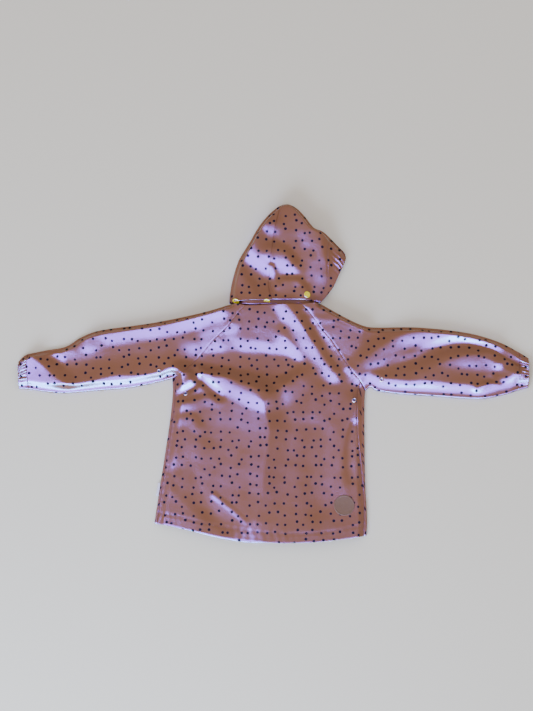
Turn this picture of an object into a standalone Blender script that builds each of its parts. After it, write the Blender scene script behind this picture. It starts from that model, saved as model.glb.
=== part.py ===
"""Toddler raincoat, laid flat on its front with the back up and the hood spread above the neck.

X runs from the left cuff to the right cuff, Y from the hem to the top of the hood and Z up from the
surface that the coat lies on. The tables are in millimetres and the finished meshes in metres.
The back, sleeves and hood puff up as one surface of soft folds, and their lower layers lie flat.
"""

import math

import bmesh
import bpy
import numpy as np
from mathutils import Matrix, Vector
from mathutils.bvhtree import BVHTree

MM = 0.001
WALL = 1.6              # coated cloth, with its turnings, as one wall, measured upright
SEAM = 0.45             # clearance between two pieces at a seam
LAYER = 0.3             # clearance between two layers that lie on each other
FOLD = 3.0              # outer radius where a tube of cloth is pressed flat at its side
SLIT = 0.25             # half the gap left between the inner faces at a pressed edge
PLACKET_LAP = 15.0      # each front reaches this far past the centre front
NECK_SHARE = 5 / 6      # share of a sleeve's columns at its armhole, the rest are at the neck
COLLAR_HEIGHT = 31.0
SNAP_RADIUS = 6.2
SNAP_BASE = 4.4         # radius of the flat underside of a snap's cap
EYELET_RADIUS = 4.6
PATCH_RADIUS = 18.5
PATCH_THICKNESS = 1.0
CUFF_GATHERS = 11
CASING_GATHERS = 12
CUFF_GATHER_HEIGHT = 1.6
CASING_GATHER_HEIGHT = 1.8
LABEL_WIDTH = 3.6
LABEL_THICKNESS = 0.8
FOLD_RELIEF = 1.25      # scales the height of every fold in the tables
PATCH_CENTRE = (127, -249)

# Each line gives the points (x, y) that its smooth curve passes through.
LINES = {
    "sleeve_left_top": [(-83, 122), (-133, 107), (-222, 88), (-318, 74), (-355, 61), (-384, 43),
                        (-420, 36), (-454, 29)],
    "sleeve_left_bottom": [(-186, -17), (-214, -24), (-263, -34), (-320, -39), (-380, -44),
                           (-415, -42), (-450, -37)],
    "sleeve_right_top": [(89, 123), (135, 97), (165, 83), (190, 79), (269, 79), (357, 69),
                         (416, 52), (454, 32)],
    "sleeve_right_bottom": [(169, -39), (179, -33), (191, -40), (235, -46), (294, -50), (374, -55),
                            (420, -48), (449, -39)],
    "cuff_left_top": [(-454.6, 28.6), (-461, 25), (-470.5, 15)],
    "cuff_left_bottom": [(-450.6, -36.9), (-459, -36.4), (-467.5, -36)],
    "cuff_right_top": [(454.6, 31.6), (462, 27), (470.5, 21.5)],
    "cuff_right_bottom": [(449.6, -38.8), (458, -36.5), (468, -34)],
    "side_left": [(-215, -281), (-209, -236), (-201, -179), (-192, -114), (-187, -71), (-185, -40),
                  (-186.6, -18)],
    "side_right": [(167, -303), (168.5, -271), (166, -204), (166, -114), (167, -60), (168.4, -39.8)],
    "seam_left": [(-210, -281.6), (-204.5, -236), (-196.5, -179), (-187.5, -114), (-182, -71),
                  (-180, -40), (-181.2, -15.5)],
    "seam_right": [(162, -303.6), (163.5, -250), (161, -204), (157, -160), (153, -118), (152, -80),
                   (153, -50), (159.6, -24.2)],
    "raglan_left": [(-186, -17), (-165, -4), (-138, 23), (-111, 54), (-85, 79), (-63, 107), (-53, 118)],
    "raglan_right": [(169, -39), (161, -25), (144, -5), (129, 19), (107, 53), (89, 74), (65, 107),
                     (52, 120)],
    "hem": [(-215, -281), (-184, -286), (-127, -299), (-70, -310), (0, -316), (43, -316), (85, -314),
            (142, -307), (167, -303)],
    "neck": [(-53, 118), (-3, 119), (52, 120)],
    "hood_rim": [(-82, 125), (-81, 142), (-76, 171), (-67, 202), (-59, 218), (-44, 243), (-29, 270),
                 (-14, 290), (1, 305), (17, 316.2), (32, 315.2), (47, 306), (62, 289), (76, 271),
                 (93, 263), (108, 249), (122, 234), (131, 225), (136, 217)],
    "hood_under_hem": [(-82, 125.5), (-53, 121), (0, 120.5), (52, 122), (88, 126.5)],
    "hood_face": [(88, 126.5), (104, 145), (114, 160), (122, 178), (131, 198), (135, 207), (136, 214)],
    "hood_seam": [(-1, 129), (-7, 151), (-7, 176), (-3, 211), (1, 243), (7, 276), (17, 315.2)],
    "hood_hem": [(-82, 127), (-53, 128.5), (-3, 129), (50, 129), (72, 128), (88, 126.5)],
    "casing": [(84, 126), (94, 145), (99.5, 162), (101.5, 180), (101.5, 202), (102, 226), (106, 251)],
}

# Soft folds of the back and the sleeves. A fold follows its path, stands `start` to `end` high
# (below zero it is a trough) and fades out `right` and `left` of the path. `crisp` sharpens its top.
#  path                                                          start  end  right left crisp
COAT_FOLDS = [
    ([(-168, -8), (-107, -12), (-72, -22), (-25, -40), (-3, -46), (21, -30), (42, -12)], 6, 6, 24, 30, .4),
    ([(-150, 10), (-84, 16), (-25, 11), (20, 2)], -4, -5, 24, 30, .0),
    ([(-145, -8), (-120, -30), (-98, -50)], -5, -3, 12, 15, .3),
    ([(-183, -36), (-153, -25)], 4, 2, 10, 11, .3),
    ([(-179, -51), (-147, -33), (-136, -20)], -3, -3, 9, 10, .3),
    ([(-181, -68), (-152, -62), (-123, -54), (-101, -56)], 4, 2, 13, 11, .3),
    ([(-177, -92), (-151, -91), (-136, -106)], 3, 3, 16, 11, .2),
    ([(-36, 128), (-53, 92), (-75, 54)], -3, -2, 20, 26, .3),
    ([(20, 124), (44, 92), (71, 51), (112, -5)], 4, 2, 16, 18, .3),
    ([(60, 100), (82, 62), (103, 26), (128, -6)], -3, -2, 13, 12, .3),
    ([(66, 93), (107, 90)], 2, 2, 9, 8, .3),
    ([(-127, 70), (-98, 80), (-71, 84)], 3, 2, 12, 12, .2),
    ([(-20, -62), (-8, -113), (-17, -186), (-21, -225), (-33, -275)], 5, 5, 100, 42, .3),
    ([(74, -110), (72, -190), (80, -250)], -3, -3, 34, 34, .0),
    ([(150, -70), (137, -95), (129, -120), (123, -149), (120, -169), (121, -190), (127, -214)],
     7, 5, 32, 14, .5),
    ([(147, -104), (138, -138), (136, -169), (141, -200)], -4, -2, 12, 14, .2),
    ([(-192, -184), (-163, -222), (-118, -258), (-84, -288)], -5, -3, 20, 26, .2),
    ([(-108, -230), (-80, -252), (-50, -278)], 4, 3, 14, 10, .6),
    ([(-186, -186), (-170, -180)], -3, -2, 16, 16, .2),
    ([(70, -292), (160, -282)], 2, 3, 12, 34, .2),
    ([(-100, 105), (-136, 97), (-191, 82), (-247, 72), (-302, 65), (-340, 54)], 5, 7, 30, 12, .1),
    ([(-163, 34), (-227, 26), (-300, 18), (-364, 6), (-394, 8)], -3, -4, 26, 26, .0),
    ([(-448, 26), (-426, 9), (-403, -12), (-374, -33)], 6, 8, 42, 22, .6),
    ([(-374, -33), (-357, -31), (-298, -14), (-250, -12), (-192, -8)], 8, 5, 22, 36, .6),
    ([(-382, 42), (-356, 38), (-328, 40)], 4, 2, 18, 14, .1),
    ([(149, -2), (175, 24), (207, 47), (241, 64), (289, 71), (363, 63), (405, 52)], 6, 5, 34, 18, .2),
    ([(175, -8), (223, 8), (265, 20), (300, 40), (347, 50), (398, 38), (425, 23), (450, 9)],
     -3, -7, 16, 17, .2),
    ([(280, -4), (301, 6), (329, 19), (386, 29), (423, 20), (446, 2)], 2, 7, 34, 16, .3),
    ([(178, -33), (231, -30), (304, -30), (349, -30), (372, -38)], 8, 8, 17, 30, .6),
    ([(372, -38), (395, -28), (439, -20)], 7, 4, 18, 14, .5),
    ([(203, -40), (300, -42), (367, -46), (424, -46)], -3, -3, 6, 6, .2),
]

# Height of the back's middle (y, z), and of the sleeves (distance from the middle of the coat, z).
BODY_LOFT = [(-330, 11.5), (-300, 12.2), (-240, 13.4), (-100, 14), (-50, 14.5), (-10, 13.5), (15, 13.3),
             (50, 15.5), (85, 19.5), (119, 20), (140, 20)]
SLEEVE_LOFT = [(90, 18), (150, 15), (230, 14), (380, 15), (480, 16)]

# How far each pressed edge takes to puff up to the full height: line, distance.
COAT_EDGES = [("side_left", 24), ("side_right", 15), ("sleeve_left_top", 15), ("sleeve_right_top", 14),
              ("sleeve_left_bottom", 14), ("sleeve_right_bottom", 14), ("cuff_left_top", 15),
              ("cuff_left_bottom", 14), ("cuff_right_top", 14), ("cuff_right_bottom", 14)]

#  path                                                          start  end  right left crisp
HOOD_FOLDS = [
    ([(-40, 262), (-21, 272), (0, 270)], 3, 3, 14, 10, .4),
    ([(-36, 240), (-27, 219), (-3, 203)], 6, 5, 26, 22, .5),
    ([(-66, 208), (-40, 187), (-12, 166)], -4, -5, 26, 24, .1),
    ([(0, 224), (18, 216), (37, 194)], 4, 3, 20, 24, .3),
    ([(44, 240), (48, 205), (40, 178)], -3, -3, 16, 18, .1),
    ([(24, 165), (44, 163), (60, 149)], 3, 2, 12, 14, .3),
    ([(67, 202), (54, 171)], 3, 2, 20, 16, .4),
    ([(108, 240), (112, 214), (120, 206)], -6, -3, 14, 14, .2),
    ([(-3, 190), (3, 173), (8, 154)], 3, 2, 7, 9, .5),
    ([(82, 258), (90, 232), (96, 205), (99, 175)], 3, 3, 12, 16, .4),
]
HOOD_LOFT = [(120, 29), (140, 30), (165, 26), (185, 23), (215, 24), (250, 21), (285, 17), (320, 12)]
HOOD_HEM_HEIGHT = 23.0
HOOD_HEM_ROLL = 9.0
HOOD_EDGE_ROLL = 17.0
FACE_EDGE_HEIGHT = 11.0
FACE_EDGE_ROLL = 42.0

CLOTH = (0.33, 0.15, 0.12)
METAL = (0.75, 0.7, 0.6)
SNAP_YELLOW = (0.86, 0.83, 0.02)
RUBBER = (0.3, 0.22, 0.15)
LABEL_WHITE = (0.8, 0.78, 0.72)


# ---- curves and heights -------------------------------------------------------------------------

def smooth_curve(points, steps):
    """Return the points of a Catmull-Rom curve through `points`, with `steps` to each span."""
    points = np.array(points, float)
    before = 2 * points[0] - points[1]
    after = 2 * points[-1] - points[-2]
    knots = np.vstack([before, points, after])
    curve = []
    for a, b, c, d in zip(knots, knots[1:], knots[2:], knots[3:]):
        for t in np.arange(steps) / steps:
            curve.append(0.5 * (2 * b + (c - a) * t + (2 * a - 5 * b + 4 * c - d) * t ** 2
                                + (3 * b - a - 3 * c + d) * t ** 3))
    return np.vstack(curve + [points[-1]])


CURVES = {name: smooth_curve(points, 10) for name, points in LINES.items()}


def along(name, t):
    """Return the points (x, y) at the fractions `t` of a line's length, carried on past its ends."""
    curve = CURVES[name]
    lengths = np.concatenate([[0], np.cumsum(np.hypot(*np.diff(curve, axis=0).T))])
    reach = t * lengths[-1]
    inside = np.clip(reach, 0, lengths[-1])
    point = np.stack([np.interp(inside, lengths, curve[:, 0]), np.interp(inside, lengths, curve[:, 1])], -1)
    first = (curve[1] - curve[0]) / lengths[1]
    last = (curve[-1] - curve[-2]) / (lengths[-1] - lengths[-2])
    point += np.minimum(reach, 0)[..., None] * first
    point += np.maximum(reach - lengths[-1], 0)[..., None] * last
    return point


def nearest(x, y, curve):
    """Return each point's distance to a curve, its side (+1 left, -1 right) and how far along it is."""
    best = np.full(np.shape(x), np.inf)
    side = np.zeros(np.shape(x))
    share = np.zeros(np.shape(x))
    count = len(curve) - 1
    for index in range(count):
        (ax, ay), (bx, by) = curve[index], curve[index + 1]
        dx, dy = bx - ax, by - ay
        t = np.clip(((x - ax) * dx + (y - ay) * dy) / (dx * dx + dy * dy), 0, 1)
        distance = np.hypot(x - ax - t * dx, y - ay - t * dy)
        closer = distance < best
        best = np.where(closer, distance, best)
        turn = (dx * (y - ay) - dy * (x - ax)) / (np.hypot(dx, dy) * np.maximum(distance, 1e-9))
        side = np.where(closer, turn, side)
        share = np.where(closer, (index + t) / count, share)
    return best, side, share


def ease(t):
    t = np.clip(t, 0, 1)
    return t * t * (3 - 2 * t)


def fold_heights(x, y, folds):
    """Add up the soft folds at the points (x, y)."""
    total = np.zeros(np.shape(x))
    for path, start, end, right, left, crisp in folds:
        distance, side, share = nearest(x, y, smooth_curve(path, 4))
        reach = right + (left - right) * ease(0.5 + 0.5 * side)
        fade = np.clip(distance / reach, 0, 1)
        soft = 1 - ease(fade)
        sharp = (1 - fade) ** 2
        total += (start + (end - start) * share) * (soft + (sharp - soft) * crisp)
    return FOLD_RELIEF * total


def roll_up(distance, inset=0.0):
    """Height of the upper half of a pressed fold, at a distance in from its edge."""
    inward = FOLD - np.clip(distance, 0, FOLD)
    return FOLD + np.sqrt(np.maximum((FOLD - inset) ** 2 - inward ** 2, SLIT ** 2))


def roll_under(distance, inset=0.0):
    """Height of the lower half of a pressed fold, down to the flat layer on the surface."""
    return 2 * FOLD - roll_up(distance, inset)


def coat_rim(x, y):
    """Return the distance to the coat's pressed edges, and how far the cloth has puffed up there."""
    closest = np.full(np.shape(x), np.inf)
    lift = np.ones(np.shape(x))
    for name, reach in COAT_EDGES:
        distance = nearest(x, y, CURVES[name])[0]
        closest = np.minimum(closest, distance)
        lift = lift * ease((distance - FOLD) / reach)
    return closest, lift


def coat_top(x, y, inset=0.0):
    """Height of the back and of the upper half of the sleeves: the outside, or `inset` below it."""
    closest, lift = coat_rim(x, y)
    away = np.abs(x + 8)
    body = np.interp(y, *zip(*BODY_LOFT))
    sleeve = np.interp(away, *zip(*SLEEVE_LOFT))
    arm = ease((away - 95) / 100)
    puff = body + (sleeve - body) * arm + fold_heights(x, y, COAT_FOLDS) - 2 * FOLD
    soft_puff = 0.5 * (puff + np.sqrt(puff ** 2 + 4))
    return roll_up(closest, inset) + lift * soft_puff


def coat_under(x, y, inset=0.0):
    return roll_under(coat_rim(x, y)[0], inset)


def hood_rim(x, y):
    """Distance in from the hood's pressed edge and crown seam, zero outside them."""
    distance, side, share = nearest(x, y, CURVES["hood_rim"])
    return np.where((side > 0) & (distance < FOLD), 0, distance)


def hood_top(x, y, inset=0.0):
    """Height of the hood's upper layer, over the collar and open at the face."""
    rim = hood_rim(x, y)
    face = nearest(x, y, CURVES["hood_face"])[0]
    hem = nearest(x, y, CURVES["hood_hem"])[0]
    puff = np.interp(y, *zip(*HOOD_LOFT)) + fold_heights(x, y, HOOD_FOLDS) - 2 * FOLD
    at_face = FACE_EDGE_HEIGHT - 2 * FOLD
    puff = at_face + (puff - at_face) * ease(face / FACE_EDGE_ROLL)
    at_hem = HOOD_HEM_HEIGHT - 2 * FOLD
    puff = puff - np.maximum(0, puff - at_hem) * (1 - ease(hem / HOOD_HEM_ROLL))
    return roll_up(rim, inset) + ease((rim - FOLD) / HOOD_EDGE_ROLL) * puff


def hood_under(x, y, inset=0.0):
    return roll_under(hood_rim(x, y), inset)


# ---- plans --------------------------------------------------------------------------------------

def fill(left, right, bottom, top, u, v):
    """Fill a four-sided outline, whose sides are functions of their own fraction u or v.

    It meets `left` and `right` exactly, and bends the other two sides to their ends.
    """
    u, v = np.broadcast_arrays(u, v)
    across, upward = u[..., None], v[..., None]
    zero, one = np.zeros(1), np.ones(1)
    sides = (1 - across) * left(v) + across * right(v) + (1 - upward) * bottom(u) + upward * top(u)
    corners = ((1 - across) * ((1 - upward) * bottom(zero) + upward * top(zero))
               + across * ((1 - upward) * bottom(one) + upward * top(one)))
    return sides - corners


def straight(start, end):
    start, end = np.array(start, float), np.array(end, float)
    return lambda t: start + (end - start) * np.asarray(t, float)[..., None]


def stretch(name, start=0.0, end=1.0, shift=(0.0, 0.0)):
    """Return the part of a line between two fractions of its length as a side, shifted."""
    shift = np.array(shift, float)
    return lambda t: along(name, start + (end - start) * np.asarray(t, float)) + shift


def joined(first, second, share):
    """Run along one side and then another, with the corner at the fraction `share`."""
    def run(t):
        t = np.asarray(t, float)
        return np.where((t < share)[..., None], first(t / share), second((t - share) / (1 - share)))
    return run


def fractions(count, start=0.0, end=1.0):
    return [start + (end - start) * index / count for index in range(count + 1)]


# ---- solids -------------------------------------------------------------------------------------

def material(name, colour, roughness, metallic=0.0):
    made = bpy.data.materials.new(name)
    made.use_nodes = True
    shader = made.node_tree.nodes["Principled BSDF"]
    shader.inputs["Base Color"].default_value = (*colour, 1)
    shader.inputs["Roughness"].default_value = roughness
    shader.inputs["Metallic"].default_value = metallic
    return made


def finish(name, bm, look):
    """Store a bmesh as a named object of its own, smooth shaded, with its material."""
    bmesh.ops.recalc_face_normals(bm, faces=bm.faces)
    if bm.calc_volume(signed=True) < 0:
        bmesh.ops.reverse_faces(bm, faces=bm.faces)
    mesh = bpy.data.meshes.new(name)
    bm.to_mesh(mesh)
    bm.free()
    mesh.shade_smooth()
    mesh.set_sharp_from_angle(angle=math.radians(50))
    mesh.materials.append(look)
    made = bpy.data.objects.new(name, mesh)
    bpy.context.scene.collection.objects.link(made)
    return made


def cloth(name, look, sections, rows, place, closed=False, left_out=None, gathers=None):
    """Make a wall of cloth from place(share, angle, v, inset), with inset 0 outside and WALL inside.

    `sections` lists the columns, each a (share, angle) pair that place understands, and `rows` the
    fractions v. `gathers` gives how far small gathers stand out of the wall, over a plain inside.
    """
    columns = len(sections) - 1
    bm = bmesh.new()
    column = bm.verts.layers.int.new("column")
    row = bm.verts.layers.int.new("row")
    bmesh.ops.create_grid(bm, x_segments=columns, y_segments=len(rows) - 1, size=0.5)
    for vert in bm.verts:
        vert[column] = round((vert.co.x + 0.5) * columns)
        vert[row] = round((vert.co.y + 0.5) * (len(rows) - 1))
    if left_out:
        lost = [vert for vert in bm.verts if left_out(vert[column], vert[row])]
        bmesh.ops.delete(bm, geom=lost, context="VERTS")
    if closed:
        first = {vert[row]: vert for vert in bm.verts if vert[column] == 0}
        last = [vert for vert in bm.verts if vert[column] == columns]
        bmesh.ops.weld_verts(bm, targetmap={vert: first[vert[row]] for vert in last})
    outer = list(bm.verts)
    grown = bmesh.ops.extrude_face_region(bm, geom=bm.faces[:], use_keep_orig=True)["geom"]
    inner = [item for item in grown if isinstance(item, bmesh.types.BMVert)]
    for verts, inset in ((outer, 0.0), (inner, WALL)):
        share, angle = np.array([sections[vert[column]] for vert in verts], float).T
        v = np.array([rows[vert[row]] for vert in verts], float)
        for vert, point in zip(verts, place(share, angle, v, inset)):
            vert.co = Vector(point) * MM
    if gathers:
        for vert in outer:
            vert.co.z += gathers(*sections[vert[column]], rows[vert[row]]) * MM
    return finish(name, bm, look)


def raise_up(plan, angle, top, under, inset):
    """Give plan points their height: on the upper layer where the angle is above zero."""
    x, y = plan[..., 0], plan[..., 1]
    z = np.where(angle >= 0, top(x, y, inset), under(x, y, inset))
    return np.stack([x, y, z], -1)


def chord_point(chord, share, angle, v, inset, near=1, far=1):
    """Point of a pressed tube's plan, moved in by the roll at the edges that `near` and `far` name."""
    width = np.linalg.norm(chord(np.ones_like(v), v) - chord(np.zeros_like(v), v), axis=-1)
    roll = inset + (FOLD - inset) * (1 - np.cos(np.radians(angle)))
    return chord(share + (near * (1 - share) - far * share) * roll / width, v)


ROLL_ANGLES = [-60, -30, 0, 30, 60]


def ring_sections(under_count, top_count):
    """Columns round a pressed tube: lower layer, far roll, upper layer and near roll."""
    under = [(share, -90) for share in fractions(under_count)]
    far_roll = [(1, angle) for angle in ROLL_ANGLES]
    top = [(share, 90) for share in fractions(top_count, 1, 0)]
    near_roll = [(0, angle) for angle in reversed(ROLL_ANGLES)]
    return under + far_roll + top + near_roll + [(0, -90)]


def back_panel(look):
    """The back, from side seam to side seam and from raglan seam to raglan seam."""
    armpit_row, last_row = 14, 27
    armpit = armpit_row / last_row
    left = joined(stretch("seam_left", shift=(SEAM, 0)),
                  stretch("raglan_left", 0.045, shift=(1.3 * SEAM, -SEAM)), armpit)
    right = joined(stretch("seam_right", shift=(-1.4 * SEAM, 0)),
                   stretch("raglan_right", 0.09, shift=(-1.3 * SEAM, -SEAM)), armpit)
    hem = stretch("hem", 0.013, 0.987)
    neck = stretch("neck", shift=(0, -0.3))

    def place(share, angle, v, inset):
        return raise_up(fill(left, right, hem, neck, share, v), angle, coat_top, coat_under, inset)
    columns = [(share, 90) for share in fractions(25)]
    return cloth("back_panel", look, columns, fractions(last_row), place)


def sleeve(look, side):
    """A raglan sleeve, from its raglan seam and neck edge to the cuff, as one pressed tube."""
    near, far = stretch(f"sleeve_{side}_bottom"), stretch(f"sleeve_{side}_top")
    neck_end = CURVES["raglan_" + side][-1]
    start, end = near(np.zeros(1))[0], far(np.zeros(1))[0]
    corner = NECK_SHARE + (1 - 2 * NECK_SHARE) * FOLD / np.linalg.norm(end - start)
    armhole = joined(stretch("raglan_" + side), straight(neck_end, end), corner)
    wrist = straight(near(np.ones(1))[0], far(np.ones(1))[0])

    def chord(share, v):
        return fill(near, far, armhole, wrist, share, v)

    def place(share, angle, v, inset):
        plan = chord_point(chord, share, angle, v, inset)
        return raise_up(plan, angle, coat_top, coat_under, inset)
    rows = [1 - (1 - step) ** 1.15 for step in fractions(19)]
    return cloth("sleeve_" + side, look, ring_sections(6, 12), rows, place, closed=True)


def cuff(look, side, smooth_share):
    """An elastic casing at the wrist: a pressed tube whose upper layer stands in gathers."""
    near, far = stretch(f"cuff_{side}_bottom"), stretch(f"cuff_{side}_top")
    wrist = straight(near(np.zeros(1))[0], far(np.zeros(1))[0])
    end = straight(near(np.ones(1))[0], far(np.ones(1))[0])

    def chord(share, v):
        return fill(near, far, wrist, end, share, v)

    def place(share, angle, v, inset):
        plan = chord_point(chord, share, angle, v, inset)
        return raise_up(plan, angle, coat_top, coat_under, inset)

    def gathers(share, angle, v):
        if angle < 89:
            return 0
        wave = 0.5 + 0.5 * math.sin(2 * math.pi * (CUFF_GATHERS * share + 0.25 * math.sin(9 * share)))
        return CUFF_GATHER_HEIGHT * wave * ease(share / 0.12 - smooth_share) * ease((1 - share) / 0.1)
    return cloth("cuff_" + side, look, ring_sections(5, 4 * CUFF_GATHERS), fractions(3), place,
                 closed=True, gathers=gathers)


def front(look, side, sign):
    """A front, flat on the surface from the placket and round the pressed side to the side seam."""
    armpit_row, last_row, flat_columns = 10, 18, 6
    armpit = armpit_row / last_row
    middle = straight((-24, -315.4), (-0.5, 118.2))
    edge, seam = stretch("side_" + side), stretch("seam_" + side)
    raglan = stretch("raglan_" + side, 0.035, shift=(-sign * 3 * SEAM, -2 * SEAM))
    lap = 2 * PLACKET_LAP + 4

    def beside(v):
        return middle(v) + np.array([sign * (lap - PLACKET_LAP), 0])

    def inward(v):
        across = seam(v / armpit) - edge(v / armpit)
        width = np.linalg.norm(across, axis=-1)
        return across / width[..., None], width

    def foot(v):
        return edge(v / armpit) + inward(v)[0] * FOLD

    def outline(v):
        above = raglan((v - armpit) / (1 - armpit))
        return np.where((v <= armpit + 1e-6)[..., None], foot(v), above)

    def hem(t):
        line = straight(beside(np.zeros(1))[0], foot(np.zeros(1))[0])(t)
        line[..., 1] = np.interp(line[..., 0], *CURVES["hem"].T) + 0.3 * (1 - np.asarray(t))
        return line
    neck = straight(beside(np.ones(1))[0], outline(np.ones(1))[0])

    def place(share, angle, v, inset):
        flat = fill(beside, outline, hem, neck, np.clip(share, 0, 1), v)
        flat[..., 0] += sign * lap * np.minimum(share, 0)
        toward, width = inward(v)
        rolled = np.where(angle < 90, inset + (FOLD - inset) * (1 - np.cos(np.radians(angle))),
                          FOLD + (width - 1.6 * SEAM - FOLD) * (share - 1))
        wrapped = edge(v / armpit) + toward * rolled[..., None]
        plan = np.where((angle > -90)[..., None], wrapped, flat)
        x, y = plan[..., 0], plan[..., 1]
        z = FOLD + (FOLD - inset) * np.sin(np.radians(angle))
        z = np.where(angle >= 90, coat_top(x, y, inset), z)
        if sign < 0:
            z = z + (WALL + LAYER) * np.clip(-share / lifted, 0, 1)
        return np.stack([x, y, z], -1)

    lifted = 0.1
    columns = [(share, -90) for share in [-1, -lifted] + fractions(flat_columns - 2)]
    columns += [(1, angle) for angle in ROLL_ANGLES + [90]] + [(1.5, 90), (2, 90)]

    def left_out(column, row):
        return column > flat_columns and row > armpit_row
    return cloth("front_" + side, look, columns, fractions(last_row), place, left_out=left_out)


def collar(look):
    """The stand collar, pressed flat: its back lies over its two front ends, under the hood's edge."""
    low = WALL + LAYER
    left_end, right_end, opening = -70.0, 76.0, 4.0
    neck_line = ([left_end, -50, 50, right_end], [121.0, 120.0, 120.8, 122.8])
    fold_to_fold = right_end - left_end - 2 * FOLD

    def upper(x, y):
        at_end = np.minimum(x - left_end, right_end - x) - FOLD
        roof = hood_top(x, np.maximum(y, 131)) - 1.5 * WALL - LAYER
        free = low + 2 * FOLD + (coat_top(x, 0 * x + 120) - low - 2 * FOLD) * ease(at_end / 16)
        return np.minimum(free, roof)

    def place(share, angle, v, inset):
        roll = (FOLD - inset) * np.cos(np.radians(angle))
        x = left_end + FOLD + fold_to_fold * share + np.where(share > 0.5, roll, -roll)
        y = np.interp(x, *neck_line) * (1 - v) + (neck_line[1][1] + COLLAR_HEIGHT) * v
        z = low + FOLD + (FOLD - inset) * np.sin(np.radians(angle))
        z = np.where(angle >= 90, upper(x, y) - inset, z)
        return np.stack([x, y, z], -1)

    gap = opening / (right_end - left_end)
    columns = [(share, -90) for share in fractions(3, 0.5 - gap, 0)]
    columns += [(0, angle) for angle in ROLL_ANGLES]
    columns += [(share, 90) for share in fractions(14)]
    columns += [(1, angle) for angle in reversed(ROLL_ANGLES)]
    columns += [(share, -90) for share in fractions(3, 1, 0.5 + gap)]
    return cloth("collar", look, columns, fractions(3), place)


def hood(look):
    """The hood's two panels and its gathered face casing, pressed flat with the face to the right."""
    peak = 0.583
    rows = fractions(12, 0, 0.84) + [0.9, 0.95, 0.975, 0.992]
    corner = rows[6]
    rim_left = stretch("hood_rim", 0.0, peak - 0.03)
    crown = stretch("hood_rim", 1.0, peak + 0.03)
    seam = stretch("hood_seam")
    top_edge = joined(stretch("hood_rim", peak - 0.03, peak), stretch("hood_rim", peak, peak + 0.03), 0.5)
    right_under = joined(stretch("hood_face"), crown, corner)

    def plan_left(share, v):
        return fill(rim_left, seam, stretch("hood_hem", 0.0, 0.474), stretch("hood_rim", peak - 0.03, peak),
                    share, v)

    def plan_under(share, v):
        return fill(rim_left, right_under, stretch("hood_under_hem"), top_edge, share, v)

    def place_left(share, angle, v, inset):
        over = chord_point(plan_left, share, angle, v, inset, far=0)
        below = chord_point(plan_under, share, angle, v, inset)
        plan = np.where((angle > 0)[..., None], over, below)
        return raise_up(plan, angle, hood_top, hood_under, inset)

    columns = [(share, 90) for share in fractions(6, 1, 0)]
    columns += [(0, angle) for angle in reversed(ROLL_ANGLES)]
    columns += [(share, -90) for share in fractions(5)] + [(1, -60), (1, -30), (1, -8)]
    cloth("hood_left", look, columns, rows, place_left)

    casing_share = 0.56
    rows = fractions(8, 0, 0.5) + [0.53, 0.55] + fractions(5, casing_share, 0.9) + [0.94, 0.975, 0.992]
    right = joined(stretch("casing", shift=(-SEAM, 0)), stretch("hood_rim", 0.878, peak + 0.03), casing_share)
    hem = stretch("hood_hem", 0.477, 0.972)
    top_edge_right = stretch("hood_rim", peak, peak + 0.03)

    def plan_right(share, v):
        return fill(stretch("hood_seam", shift=(SEAM, 0)), right, hem, top_edge_right, share, v)

    def place_right(share, angle, v, inset):
        plan = chord_point(plan_right, share, angle, v, inset, near=0)
        return raise_up(plan, angle, hood_top, hood_under, inset)

    columns = [(share, 90) for share in fractions(8)] + [(1, 60), (1, 30), (1, 8)]
    cloth("hood_right", look, columns, rows, place_right)

    face = stretch("hood_face")
    inner = stretch("casing", shift=(SEAM, 0))
    foot = straight(inner(np.zeros(1))[0], face(np.zeros(1))[0])
    tip = stretch("hood_rim", 0.892, 1.0)

    def place_casing(share, angle, v, inset):
        return raise_up(fill(inner, face, foot, tip, share, v), angle, hood_top, hood_under, inset)

    def gathers(share, angle, v):
        wave = 0.5 + 0.5 * math.sin(2 * math.pi * (CASING_GATHERS * v + 0.3 * math.sin(7 * v)))
        fading = ease(share * 1.3) * ease(v * 6) * ease((0.94 - v) * 12) * (0.55 + 0.45 * v)
        return CASING_GATHER_HEIGHT * wave * fading
    rows = fractions(4 * CASING_GATHERS, 0, 0.94) + [0.975, 0.99]
    columns = [(share, 90) for share in fractions(4)]
    cloth("hood_casing", look, columns, rows, place_casing, gathers=gathers)


def seat(carrier, x, y, radius):
    """Return the centre and normal of the plane that best fits a carrier, clear of it by LAYER."""
    tree = BVHTree.FromObject(carrier, bpy.context.evaluated_depsgraph_get())
    spots = []
    for ring in (0.0, 0.5, 1.0):
        for turn in range(24):
            angle = math.tau * turn / 24
            spot = Vector((x + ring * radius * math.cos(angle), y + ring * radius * math.sin(angle), 100))
            hit = tree.ray_cast(spot * MM, Vector((0, 0, -1)))[0]
            if hit:
                spots.append(np.array(hit) / MM)
    spots = np.array(spots)
    slope = np.linalg.lstsq(np.c_[spots[:, :2], np.ones(len(spots))], spots[:, 2], rcond=None)[0]
    normal = Vector((-slope[0], -slope[1], 1)).normalized()
    above = max(normal.dot(Vector(spot) - Vector(spots[0])) for spot in spots)
    middle = Vector((x, y, slope[0] * x + slope[1] * y + slope[2]))
    level = normal.dot(middle - Vector(spots[0]))
    return middle + normal * (above - level + LAYER), normal


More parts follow.
